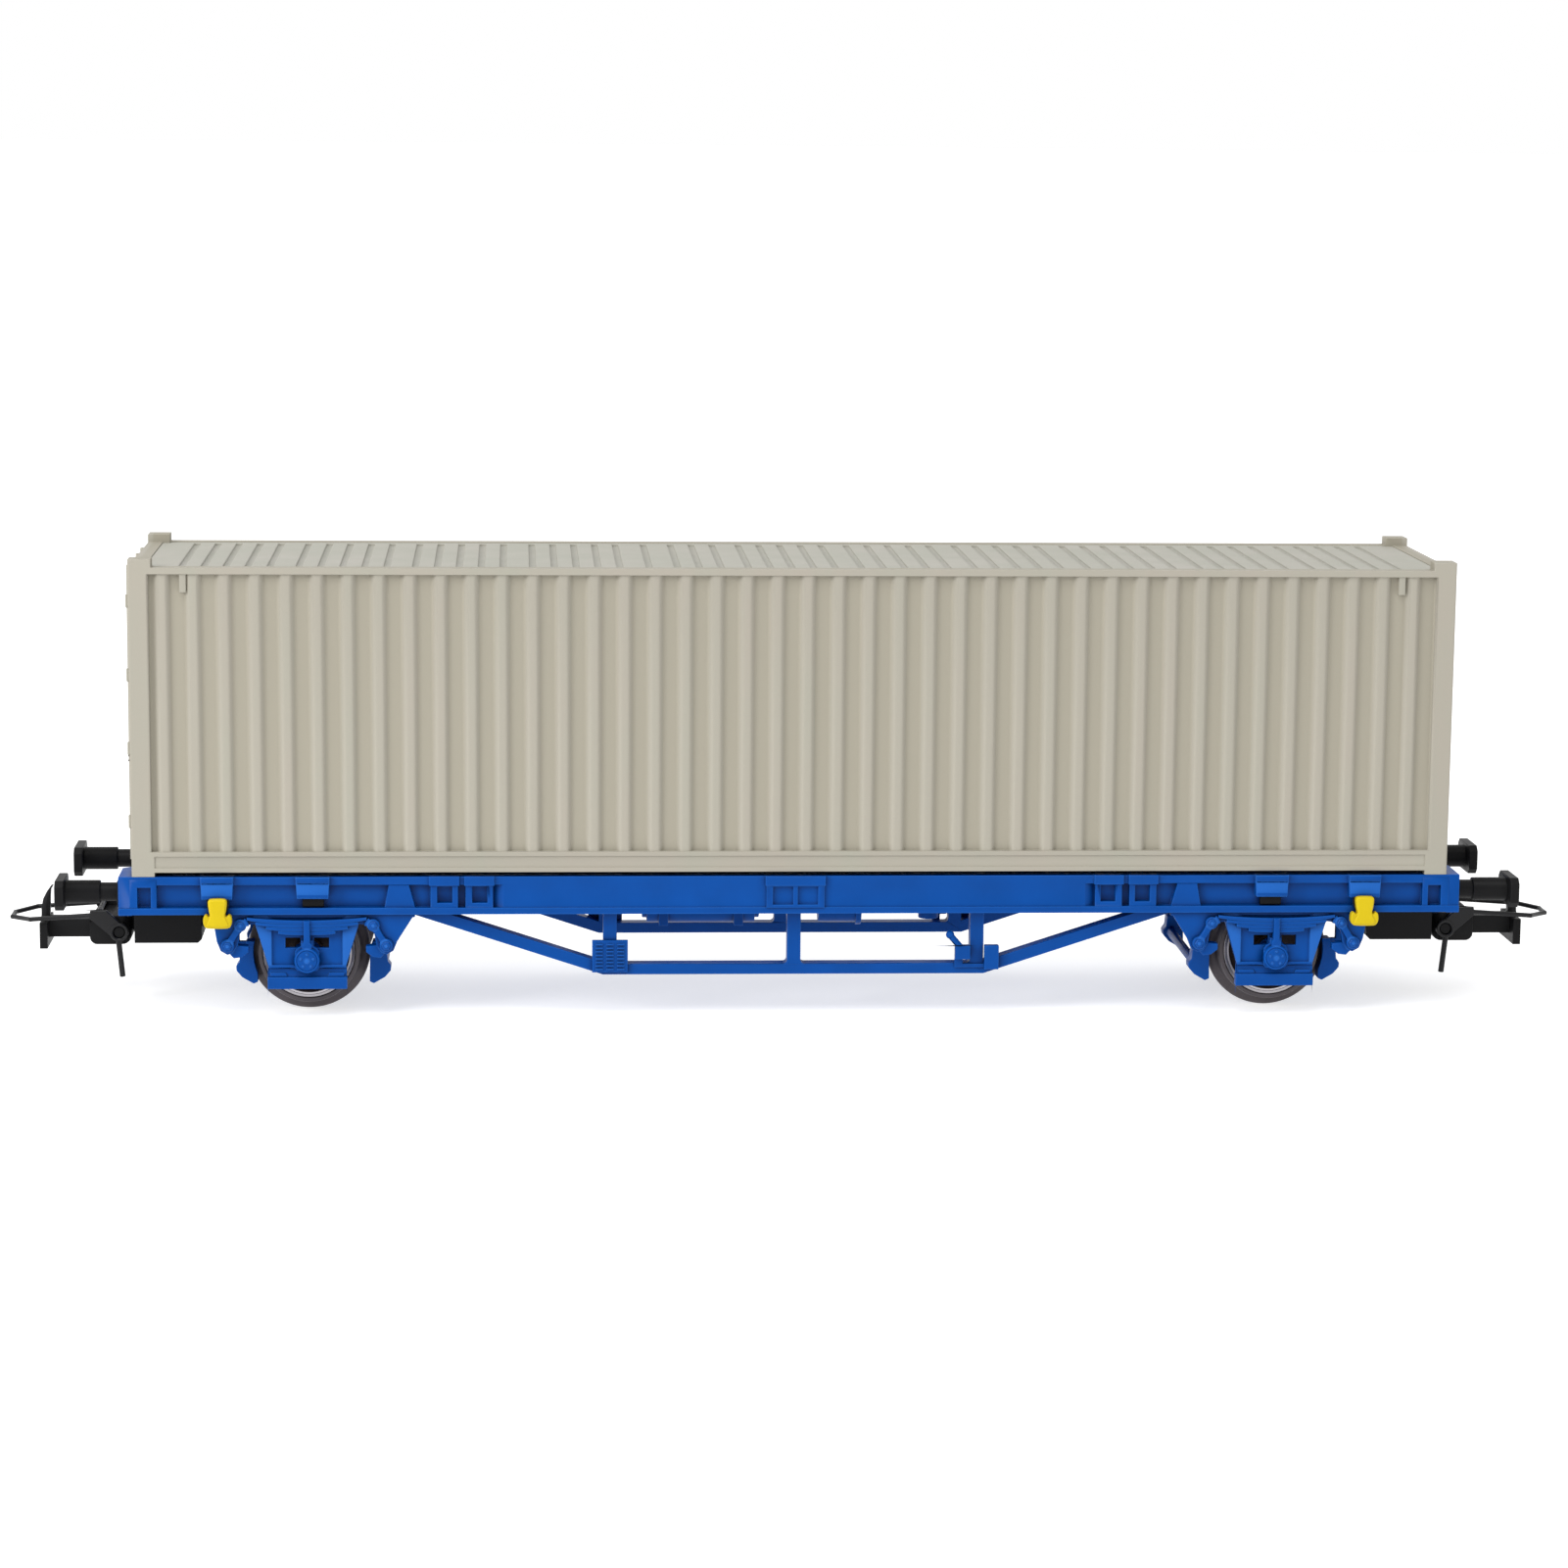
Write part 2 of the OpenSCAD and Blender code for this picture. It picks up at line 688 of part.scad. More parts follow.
module wheel_discs(end) {
    web_in = 0.7;
    web_out = 1.7;
    color([0.16, 0.12, 0.11])
        on_axle(end)
            rotate_extrude()
                polygon([
                    [axle_d / 2, 0], [hub_d / 2, 0], [hub_d / 2, web_in], [tyre_bore / 2 - 0.3, web_in],
                    [tyre_bore / 2 - 0.3, 0.2], [tyre_bore / 2, 0.2], [tyre_bore / 2, 2.2],
                    [tyre_bore / 2 - 0.3, 2.2], [tyre_bore / 2 - 0.3, web_out], [hub_d / 2, web_out],
                    [hub_d / 2, 2.4], [axle_d / 2, 2.4]
                ]);
}

module axle(end) {
    point_l = 0.6;
    shoulder = cup_in - 0.35;
    color([0.6, 0.6, 0.62])
        at_axle(end) {
            crosswise(0, axle_z, axle_d / 2, -shoulder, shoulder);
            crosswise(0, axle_z, journal_d / 2, -axle_l / 2 + point_l, axle_l / 2 - point_l);
            both_sides()
                translate([0, -axle_l / 2 + point_l, axle_z])
                    rotate([90, 0, 0])
                        cylinder(r1 = journal_d / 2, r2 = 0.08, h = point_l);
        }
}

// Brake block seen from the side, hanging at +X of the axle with its near edge at a set distance
module shoe(near) {
    difference() {
        polygon([
            [near - 0.15, -3.2], [near + 0.3, -3.4], [near + 1.5, -2.7], [near + 2.1, -2],
            [near + 2.15, -1.5], [near + 1.8, -1], [near + 1.7, 0.1], [near + 1.1, 0.3],
            [near + 1.1, 1.2], [near + 0.2, 1.2], [near - 0.1, 0.2]
        ]);
        circle(r = tread_d / 2 + shoe_gap, $fn = 96);
    }
}

// One pair of shoes on their beam, hung from the floor
module brake_rigging(near) {
    shoe_in = wheel_back + flange_w + 0.15;
    hanger_x = wheel_r + 1.2;
    both_sides() {
        translate([0, 0, axle_z])
            slab(shoe_in, wheel_face)
                shoe(near);
        block([near + 0.5, hanger_x], [-shoe_in - 1.3, -shoe_in - 0.5], [axle_z + 0.6, axle_z + 1.1]);
        block([hanger_x - 0.3, hanger_x + 0.4], [-shoe_in - 1.3, -shoe_in - 0.5], [axle_z + 0.6, floor_z]);
    }
    crosswise(near + 1.3, axle_z - 1.6, 0.5, -shoe_in - 0.2, shoe_in + 0.2);
}

module brake_gear(end) {
    color(blue)
        at_axle(end) {
            brake_rigging(tread_d / 2 + 0.1);
            mirror([1, 0, 0])
                brake_rigging(tread_d / 2 + 1.1);
        }
}

// ---- Tow hooks, buffers and couplers ----

module tow_hook(end, side) {
    x = axle_x + 9.3;
    back = side_y + 0.5;
    front = back + 0.7;
    bar_z = sill_bottom - 0.85;
    color(yellow)
        at_end(end)
            at_side(side) {
                block([x - 0.8, x + 0.8], [-back - 0.2, -lower_y], [sill_bottom, lower_z + 0.1]);
                slab(back, front)
                    translate([x, 0]) {
                        translate([0, sill_bottom + 0.3])
                            rounded_rect(1.85, 3.2, 0.35);
                        translate([0, bar_z])
                            rounded_rect(2.7, 0.9, 0.4);
                        for (m = [-1, 1])
                            translate([m * 1.15, bar_z + 0.45])
                                rounded_rect(0.7, 1.1, 0.33);
                    }
                slab(front - 0.05, front + 0.25)
                    translate([x, sill_bottom + 0.1])
                        rounded_rect(1.1, 2.2, 0.4);
            }
}

module buffer(end, side) {
    head_t = 0.95;
    face_x = end_x + buffer_reach;
    color(black)
        at_end(end)
            at_side(side)
                translate([0, -buffer_span / 2, buffer_z()]) {
                    lengthwise([end_x - headstock_t, end_x + 0.2], 0, 0, spigot_r());
                    lengthwise([end_x, end_x + 2.3], 0, 0, base_d / 2);
                    lengthwise([end_x + 2.2, face_x - head_t + 0.1], 0, 0, sleeve_d / 2);
                    block([end_x, end_x + 0.35], [-1.5, 1.5], [-1.4, 1.4]);
                    translate([face_x - head_t, 0, 0])
                        rotate([90, 0, 90])
                            linear_extrude(head_t)
                                intersection() {
                                    square([head_w, head_h], center = true);
                                    rotate(45)
                                        square((head_w + head_h) / sqrt(2) - 0.85, center = true);
                                }
                }
}

module coupler_guide(end) {
    half = guide_w / 2;
    room_z = coupler_z - 0.2;
    room_top = coupler_z + 1.5;
    color(black)
        at_end(end) {
            difference() {
                slab(-half, half)
                    polygon([
                        [guide_in, guide_floor + 0.4], [guide_in + 0.4, guide_floor], [guide_out, guide_floor],
                        [guide_out, guide_top], [guide_in, guide_top]
                    ]);
                block([guide_in + 0.5, guide_out + 1], [-half + 0.8, half - 0.8], [room_z - 0.15, room_top + 0.15]);
            }
            translate([pivot_x, 0, guide_floor + 0.2])
                cylinder(d = pivot_d, h = guide_top - guide_floor - 0.4);
            // Neck at the inner end and the foot that is glued under the floor
            block([guide_in - 0.9, guide_in + 0.2], [-2.2, 2.2], [guide_floor + 1.3, guide_top - 0.3]);
            block([guide_in + 0.6, guide_out - 1.4], [-2.6, 2.6], [guide_top - 0.2, floor_z]);
        }
}

// The shank swings on the guide's peg; the head carries the trunnions, the plate and the hook's horn
module coupler_head(end) {
    shank_z = coupler_z - 0.2;
    shank_top = coupler_z + 1.5;
    color(black)
        at_end(end)
            difference() {
                union() {
                    block([pivot_x, cheek_in + 1], [-1.4, 1.4], [shank_z, shank_top]);
                    translate([pivot_x, 0, shank_z])
                        cylinder(r = 1.4, h = shank_top - shank_z);
                    // Thin centring leaves that spring against the walls of the guide
                    both_sides()
                        translate([0, 0, shank_z])
                            linear_extrude(shank_top - shank_z)
                                polygon([
                                    [guide_out - 1.6, -1.2], [guide_out - 1.2, -1.2],
                                    [pivot_x + 2.2, -2.75], [pivot_x + 1.8, -2.75]
                                ]);
                    // Housing with rounded lower corners
                    difference() {
                        slab(-cheek_y, cheek_y)
                            translate([(cheek_in + cheek_out) / 2, coupler_z + 0.1])
                                rounded_rect(cheek_out - cheek_in, 3.1, 0.8);
                        both_sides()
                            difference() {
                                block([cheek_in - 1, cheek_in + 1.2], [-cheek_y - 1, -cheek_y + 1.2],
                                      [coupler_z - 2, coupler_z + 2]);
                                translate([cheek_in + 1.2, -cheek_y + 1.2, coupler_z - 3])
                                    cylinder(r = 1.2, h = 6);
                            }
                    }
                    crosswise(trunnion_x, coupler_z, trunnion_d / 2, -bow_out + 0.1, bow_out - 0.1);
                    // Shaft, front plate and horn
                    block([cheek_out - 0.2, plate_x + 0.2], [-1.3, 1.3], [coupler_z - 1, coupler_z + 0.95]);
                    block([plate_x, plate_x + plate_t], [-3.2, 3.2], [coupler_z - 1.95, coupler_z + 0.9]);
                    slab(-0.6, 0.6)
                        difference() {
                            polygon([
                                [plate_x, coupler_z + 0.5], [plate_x + plate_t, coupler_z + 0.5],
                                [plate_x + plate_t + 0.05, coupler_z + 2.3], [plate_x - 0.15, coupler_z + 4.45],
                                [plate_x - 0.35, coupler_z + 4.4]
                            ]);
                            translate([plate_x - 3.8, coupler_z + 1.9])
                                circle(r = 4.25, $fn = 96);
                        }
                }
                translate([pivot_x, 0, coupler_z - 3])
                    cylinder(r = pivot_d / 2 + pivot_gap, h = 6);
            }
}

module coupler_bow(end) {
    wire_r = bow_wire / 2;
    lap = 0.12;
    arm_y = (bow_in + bow_out) / 2;
    arm_x = cheek_out - 0.4;
    arm_z = coupler_z + 1.85;
    tip_z = coupler_z + 1.25;
    knee_x = plate_x + plate_t + 0.9;
    knee_z = arm_z - (arm_z - tip_z) * (knee_x - arm_x) / (bow_x - wire_r - arm_x);
    tip = [bow_x - wire_r, 1.3, tip_z];
    knee = [knee_x, arm_y, knee_z];
    reach = tip - knee;
    color(black)
        at_end(end) {
            both_sides() {
                difference() {
                    union() {
                        crosswise(trunnion_x, coupler_z, 1, bow_in, bow_out);
                        slab(bow_in, bow_out)
                            polygon([
                                [trunnion_x - 0.3, coupler_z + 0.8], [trunnion_x + 0.8, coupler_z - 0.5],
                                [arm_x + 0.3, coupler_z + 1.5], [arm_x + 0.3, arm_z + 0.5],
                                [arm_x - 1.5, arm_z + 0.5]
                            ]);
                    }
                    crosswise(trunnion_x, coupler_z, trunnion_d / 2 + trunnion_gap, bow_in - 1, bow_out + 1);
                }
                strut([arm_x, arm_z], [knee_x + lap, knee_z], wire_r, -arm_y);
                translate([knee_x, -arm_y, knee_z])
                    rotate([0, acos(reach[2] / norm(reach)), atan2(arm_y - tip[1], reach[0])])
                        translate([0, 0, -lap])
                            cylinder(r = wire_r, h = norm(reach) + 2 * lap);
            }
            crosswise(tip[0], tip_z, wire_r, -tip[1] - lap, tip[1] + lap);
            // Bar that joins the two arms over the housing, and the release finger
            crosswise(arm_x - 0.6, arm_z + 0.2, 0.3, -arm_y, arm_y);
            strut([trunnion_x + 0.1, coupler_z - 0.85], [trunnion_x - 0.3, coupler_z - 4.9], 0.31, -arm_y);
        }
}

// ---- Container ----

// Plan of a side wall: flat inside, ribbed outside
module side_wall_plan() {
    half = box_x - post_w + 0.1;
    ribs = [
        for (k = [0 : side_ribs - 1])
            let (x = first_rib + k * rib_pitch)
                for (p = [[-rib_foot, panel_y], [-rib_face / 2, rib_y], [rib_face / 2, rib_y], [rib_foot, panel_y]])
                    [x + p[0], -p[1]]
    ];
    polygon(concat([[-half, -wall_in], [-half, -panel_y]], ribs, [[half, -panel_y], [half, -wall_in]]));
}

module bottom_rail(half, face) {
    bead = 0.5;
    block([-half, half], [-face + 0.15, -face + rail_w], [rail_z, wall_z]);
    block([-half, half], [-face, -face + rail_w], [rail_z, rail_z + bead]);
    block([-half, half], [-face, -face + rail_w], [wall_z - bead, wall_z]);
}

module corner() {
    x = [box_x - casting_w, box_x];
    y = [-box_y, -box_y + casting_w];
    block([box_x - post_w, box_x], [-box_y, -box_y + post_w], [box_z, box_top]);
    block(x, y, [box_z, box_z + 2.2]);
    block(x, y, [box_top - roof_rail_h, box_top + casting_h]);
}

module end_wall() {
    pitch = 3.4;
    half = box_y - post_w + 0.1;
    face = box_x - rib_inset;
    ribs = [
        for (k = [-3 : 3])
            for (p = [[-rib_foot, rib_d], [-rib_face / 2, 0], [rib_face / 2, 0], [rib_foot, rib_d]])
                [face - p[1], k * pitch + p[0]]
    ];
    translate([0, 0, wall_z - 0.1])
        linear_extrude(wall_top - wall_z + 0.2)
            polygon(concat([[face - rib_d - wall_t, -half], [face - rib_d, -half]], ribs,
                           [[face - rib_d, half], [face - rib_d - wall_t, half]]));
}

module container_shell() {
    vent_w = 0.7;
    color(resin)
        difference() {
            union() {
                both_sides() {
                    translate([0, 0, wall_z - 0.1])
                        linear_extrude(wall_top - wall_z + 0.2)
                            side_wall_plan();
                    bottom_rail(box_x - 1, box_y);
                    block([-box_x + 1, box_x - 1], [-box_y, -box_y + rail_w], [wall_top, box_top]);
                    both_ends()
                        corner();
                    // Small vents high on the side
                    for (x = [first_rib + 0.56 * rib_pitch, last_rib - 0.5 * rib_pitch])
                        block([x, x + vent_w], [-rib_y - 0.05, -panel_y], [wall_top - 1.9, wall_top + 0.1]);
                }
                end_wall();
                both_ends() {
                    block([box_x - rail_w, box_x], [-box_y + 1, box_y - 1], [rail_z, wall_z]);
                    block([box_x - rail_w, box_x], [-box_y + 1, box_y - 1], [wall_top - 0.5, box_top]);
                }
            }
            both_sides()
                both_ends()
                    translate([hole_x, -hole_y, box_z - 1])
                        cylinder(r = peg_d / 2 + peg_gap, h = 1 + peg_h + 0.2);
        }
}

// Room for the four corner castings, cut from a plate that lies between the rails
module casting_corners(z) {
    both_sides()
        both_ends()
            block([box_x - casting_w, box_x], [-box_y, -box_y + casting_w], [z - 3, z + 3]);
}

module container_roof() {
    long = box_x - rail_w;
    color([0.76, 0.75, 0.7])
        difference() {
            block([-long, long], [-roof_edge, roof_edge], [roof_z - 0.5, roof_z + ridge_h]);
            for (panel = roof_panels, k = [0 : panel[1] - 1]) {
                x = panel[0] + groove_pitch * k;
                if (abs(x) < long - 2)
                    block([x - groove_w / 2, x + groove_w / 2], [-roof_edge + 0.8, roof_edge - 0.8],
                          [roof_z, roof_z + 1]);
            }
            casting_corners(roof_z);
        }
}

module container_floor() {
    long = box_x - rail_w;
    wide = box_y - rail_w;
    color(resin)
        difference() {
            block([-long, long], [-wide, wide], [rail_z, rail_z + 1.1]);
            casting_corners(rail_z);
        }
}

// Two door leaves with level ribs, closed in the frame at end "a"
module container_doors() {
    outer = box_y - post_w - 0.1;
    top = wall_top - 0.6;
    color(resin)
        both_sides() {
            block([-door_x, -door_x + door_t], [-outer, -0.1], [wall_z + 0.1, top]);
            for (k = [0 : 4]) {
                z = wall_z + 2.6 + k * (top - wall_z - 5.2) / 4;
                block([-door_x - 0.2, -door_x + 0.1], [-outer + 1, -1.1], [z - 0.7, z + 0.7]);
            }
        }
}

module door_hinges() {
    outer = box_y - post_w;
    pin_y = outer + 0.3;
    color(resin)
        both_sides()
            for (k = [0 : 3]) {
                z = wall_z + 3 + k * (wall_top - wall_z - 6) / 3;
                block([-box_x - 0.15, -box_x], [-pin_y - 0.4, -pin_y + 0.2], [z - 0.5, z + 0.5]);
                translate([-box_x - 0.2, -pin_y, z - 0.7])
                    cylinder(r = 0.2, h = 1.4);
            }
}

module lock_rods() {
    outer = box_y - post_w;
    x = -box_x - lock_rod_d / 2;
    color(resin)
        both_sides()
            for (y = [0.25 * outer, 0.72 * outer]) {
                translate([x, -y, rail_z + 0.5])
                    cylinder(d = lock_rod_d, h = box_top - rail_z - 0.8);
                for (z = [rail_z + 1, wall_top - 0.1])
                    block([-box_x - 0.45, -box_x], [-y - 0.5, -y + 0.5], [z - 0.35, z + 0.35]);
                // Handle
                block([x - 0.3, x + 0.1], [-y - 0.2, -y + 2], [wall_z + 9, wall_z + 9.5]);
            }
}

frame();
deck();
ballast_weight();
truss("right");  // truss_right
truss("left");  // truss_left
load_panel("right");  // load_panel_right
load_panel("left");  // load_panel_left
brake_changeover("right");  // brake_changeover_right
brake_changeover("left");  // brake_changeover_left
air_reservoir();
brake_cylinder();
distributor_valve();
brake_gear("a");  // brake_gear_a
brake_gear("b");  // brake_gear_b
axle_guard("a", "right");  // axle_guard_a_right
axle_guard("a", "left");  // axle_guard_a_left
axle_guard("b", "right");  // axle_guard_b_right
axle_guard("b", "left");  // axle_guard_b_left
leaf_spring("a", "right");  // leaf_spring_a_right
leaf_spring("a", "left");  // leaf_spring_a_left
leaf_spring("b", "right");  // leaf_spring_b_right
leaf_spring("b", "left");  // leaf_spring_b_left
axle_box("a", "right");  // axle_box_a_right
axle_box("a", "left");  // axle_box_a_left
axle_box("b", "right");  // axle_box_b_right
axle_box("b", "left");  // axle_box_b_left
bearing_cup("a", "right");  // bearing_cup_a_right
bearing_cup("a", "left");  // bearing_cup_a_left
bearing_cup("b", "right");  // bearing_cup_b_right
bearing_cup("b", "left");  // bearing_cup_b_left
axle("a");  // axle_a
wheel_tyres("a");  // wheel_tyres_a
wheel_discs("a");  // wheel_discs_a
axle("b");  // axle_b
wheel_tyres("b");  // wheel_tyres_b
wheel_discs("b");  // wheel_discs_b
tow_hook("a", "right");  // tow_hook_a_right
tow_hook("a", "left");  // tow_hook_a_left
tow_hook("b", "right");  // tow_hook_b_right
tow_hook("b", "left");  // tow_hook_b_left
buffer("a", "right");  // buffer_a_right
buffer("a", "left");  // buffer_a_left
buffer("b", "right");  // buffer_b_right
buffer("b", "left");  // buffer_b_left
coupler_guide("a");  // coupler_guide_a
coupler_head("a");  // coupler_head_a
coupler_bow("a");  // coupler_bow_a
coupler_guide("b");  // coupler_guide_b
coupler_head("b");  // coupler_head_b
coupler_bow("b");  // coupler_bow_b
container_shell();
container_roof();
container_floor();
container_doors();
door_hinges();
lock_rods();
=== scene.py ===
import json
import math
import bpy
import bmesh
from mathutils import Matrix, Vector

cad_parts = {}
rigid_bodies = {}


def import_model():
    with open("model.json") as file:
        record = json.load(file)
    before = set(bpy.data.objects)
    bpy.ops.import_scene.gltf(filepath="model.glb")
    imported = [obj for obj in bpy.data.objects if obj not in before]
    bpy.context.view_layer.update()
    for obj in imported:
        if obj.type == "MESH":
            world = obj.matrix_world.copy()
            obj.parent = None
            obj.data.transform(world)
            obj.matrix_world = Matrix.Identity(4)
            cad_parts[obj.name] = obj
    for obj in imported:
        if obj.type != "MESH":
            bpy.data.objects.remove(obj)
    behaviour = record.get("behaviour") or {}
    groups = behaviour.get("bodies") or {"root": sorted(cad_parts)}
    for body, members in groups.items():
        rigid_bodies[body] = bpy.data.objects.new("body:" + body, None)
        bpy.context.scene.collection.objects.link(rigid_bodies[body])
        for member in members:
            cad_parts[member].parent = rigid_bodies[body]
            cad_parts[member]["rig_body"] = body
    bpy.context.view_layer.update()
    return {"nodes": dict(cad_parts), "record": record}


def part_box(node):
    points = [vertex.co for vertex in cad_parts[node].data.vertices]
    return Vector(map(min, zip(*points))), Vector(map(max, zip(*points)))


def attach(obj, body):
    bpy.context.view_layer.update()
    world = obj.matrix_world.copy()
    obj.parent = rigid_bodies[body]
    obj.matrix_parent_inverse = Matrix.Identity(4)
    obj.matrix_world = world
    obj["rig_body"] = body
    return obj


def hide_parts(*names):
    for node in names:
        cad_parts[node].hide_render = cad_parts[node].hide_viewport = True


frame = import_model()
MM = 0.001
BODY_OF = {node: obj["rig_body"] for node, obj in frame["nodes"].items()}
SLOT_OF = {row["node"]: row["material_slot"] for row in frame["record"]["subparts"]}
scene = bpy.context.scene

# ---------------------------------------------------------------- camera, floor and light

CAMERA_AT = Vector((-29.8, -455.64, 97.21)) * MM
PITCH, YAW, ROLL = math.radians(9.223), math.radians(3.688), math.radians(0.556)
LENS = 97.17
SENSOR_WIDTH = 36

# Each light's place, the point it looks at, its diameter (metres) and its power (watts).
LIGHTS = {
    "key": ((-0.52, -0.36, 0.32), (-0.02, 0, 0.02), 0.25, 2.4),
    "top": ((-0.1, -0.3, 0.62), (0, 0, 0.02), 0.3, 1.5),
}
WORLD_STRENGTH = 1.0
FLOOR_RADIUS = 8
FLOOR_GREY = 0.6
FLOOR_ROUGHNESS = 0.9
FLOOR_GLOW = 0.62


def make_camera():
    forward = Vector((
        math.sin(YAW) * math.cos(PITCH),
        math.cos(YAW) * math.cos(PITCH),
        -math.sin(PITCH),
    ))
    level = Vector((math.cos(YAW), -math.sin(YAW), 0))
    above = level.cross(forward)
    right = level * math.cos(ROLL) + above * math.sin(ROLL)
    up = above * math.cos(ROLL) - level * math.sin(ROLL)
    data = bpy.data.cameras.new("camera")
    data.lens = LENS
    data.sensor_width = SENSOR_WIDTH
    data.clip_start = 0.01
    data.clip_end = 50
    camera = bpy.data.objects.new("camera", data)
    turn = Matrix((right, up, -forward)).transposed().to_4x4()
    camera.matrix_world = Matrix.Translation(CAMERA_AT) @ turn
    scene.collection.objects.link(camera)
    scene.camera = camera


def area_light(name, at, aim, size, power):
    data = bpy.data.lights.new(name, "AREA")
    data.shape = "DISK"
    data.size = size
    data.energy = power
    lamp = bpy.data.objects.new(name, data)
    at = Vector(at)
    lamp.matrix_world = (
        Matrix.Translation(at)
        @ (Vector(aim) - at).to_track_quat("-Z", "Y").to_matrix().to_4x4()
    )
    scene.collection.objects.link(lamp)


def make_studio():
    world = bpy.data.worlds.new("studio")
    world.use_nodes = True
    background = world.node_tree.nodes["Background"]
    background.inputs["Color"].default_value = (1, 1, 1, 1)
    background.inputs["Strength"].default_value = WORLD_STRENGTH
    scene.world = world
    scene.view_settings.view_transform = "Standard"
    for name, (at, aim, size, power) in LIGHTS.items():
        area_light(name, at, aim, size, power)
    plate = bmesh.new()
    bmesh.ops.create_circle(plate, cap_ends=True, segments=96, radius=FLOOR_RADIUS)
    mesh = bpy.data.meshes.new("floor")
    plate.to_mesh(mesh)
    plate.free()
    floor = bpy.data.objects.new("floor", mesh)
    scene.collection.objects.link(floor)
    mat = bpy.data.materials.new("floor")
    mat.use_nodes = True
    shader = mat.node_tree.nodes["Principled BSDF"]
    shader.inputs["Base Color"].default_value = (FLOOR_GREY, FLOOR_GREY, FLOOR_GREY, 1)
    shader.inputs["Roughness"].default_value = FLOOR_ROUGHNESS
    shader.inputs["Emission Color"].default_value = (1, 1, 1, 1)
    shader.inputs["Emission Strength"].default_value = FLOOR_GLOW
    mesh.materials.append(mat)


make_camera()
make_studio()

# ---------------------------------------------------------------- materials


class Finish:
    """One node material; a number that is the same all over sits on the shader's own socket."""

    def __init__(self, name, metallic=0.0, specular=0.12):
        self.material = bpy.data.materials.new(name)
        self.material.use_nodes = True
        self.tree = self.material.node_tree
        self.shader = self.tree.nodes["Principled BSDF"]
        self.shader.inputs["Metallic"].default_value = metallic
        self.shader.inputs["Specular IOR Level"].default_value = specular
        self.place = self.add("ShaderNodeTexCoord").outputs["Object"]

    def add(self, kind, **values):
        node = self.tree.nodes.new(kind)
        for name, value in values.items():
            setattr(node, name, value)
        return node

    def join(self, source, target):
        self.tree.links.new(source, target)

    def noise(self, scale, detail=3, stretch=(1, 1, 1)):
        mapping = self.add("ShaderNodeMapping")
        mapping.inputs["Scale"].default_value = stretch
        self.join(self.place, mapping.inputs["Vector"])
        noise = self.add("ShaderNodeTexNoise")
        noise.inputs["Scale"].default_value = scale
        noise.inputs["Detail"].default_value = detail
        self.join(mapping.outputs["Vector"], noise.inputs["Vector"])
        return noise.outputs["Fac"]

    def spread(self, fac, low, high, bottom=0.0, top=1.0):
        """The part of a value between low and high, stretched to bottom to top."""
        node = self.add("ShaderNodeMapRange")
        node.inputs["From Min"].default_value = low
        node.inputs["From Max"].default_value = high
        node.inputs["To Min"].default_value = bottom
        node.inputs["To Max"].default_value = top
        self.join(fac, node.inputs["Value"])
        return node.outputs["Result"]

    def mix(self, fac, first, second):
        """The first colour where fac is 0 and the second where it is 1."""
        node = self.add("ShaderNodeMix", data_type="RGBA")
        self.join(fac, node.inputs["Factor"])
        for name, value in (("A", first), ("B", second)):
            socket = next(s for s in node.inputs if s.name == name and s.type == "RGBA")
            if isinstance(value, tuple):
                socket.default_value = (*value, 1)
            else:
                self.join(value, socket)
        return next(o for o in node.outputs if o.type == "RGBA")

    def hollow(self, reach):
        """1 on open faces, falling towards 0 far into corners and recesses; the mask for painted
        shade.
        """
        node = self.add("ShaderNodeAmbientOcclusion", samples=6)
        node.inputs["Distance"].default_value = reach * MM
        return node.outputs["AO"]

    def rim(self, reach):
        """1 on broad faces, falling towards 0 along outer edges; the mask for painted highlights.
        """
        node = self.add("ShaderNodeAmbientOcclusion", samples=4, inside=True)
        node.inputs["Distance"].default_value = reach * MM
        return node.outputs["AO"]

    def maths(self, operation, first, second=0.0):
        node = self.add("ShaderNodeMath", operation=operation)
        for k, value in enumerate((first, second)):
            if isinstance(value, (int, float)):
                node.inputs[k].default_value = value
            else:
                self.join(value, node.inputs[k])
        return node.outputs["Value"]

    def outwards(self, panel_x, panel_y):
        """How far a point lies outside the recessed panels of the walls, in millimetres."""
        axes = self.add("ShaderNodeSeparateXYZ")
        self.join(self.place, axes.inputs["Vector"])
        along = self.maths("SUBTRACT", self.maths("ABSOLUTE", axes.outputs["X"]), panel_x * MM)
        across = self.maths("SUBTRACT", self.maths("ABSOLUTE", axes.outputs["Y"]), panel_y * MM)
        return self.maths("DIVIDE", self.maths("MAXIMUM", along, across), MM)

    def peak(self, value, start, top, end):
        """Rises from 0 at start to 1 at top and falls back to 0 at end."""
        rise = self.spread(value, start, top)
        fall = self.spread(value, top, end, 1.0, 0.0)
        return self.maths("MINIMUM", rise, fall)

    def colour(self, value):
        self.join(value, self.shader.inputs["Base Color"])

    def rough(self, fac, low, high):
        self.join(self.spread(fac, 0.3, 0.7, low, high), self.shader.inputs["Roughness"])

    def bump(self, fac, depth, strength=1.0, after=None):
        node = self.add("ShaderNodeBump")
        node.inputs["Strength"].default_value = strength
        node.inputs["Distance"].default_value = depth * MM
        self.join(fac, node.inputs["Height"])
        if after is not None:
            self.join(after, node.inputs["Normal"])
        return node.outputs["Normal"]

    def normal(self, value):
        self.join(value, self.shader.inputs["Normal"])


BLOTCH = 0.12


def scaled(colour, k):
    return tuple(min(1.0, c * k) for c in colour)


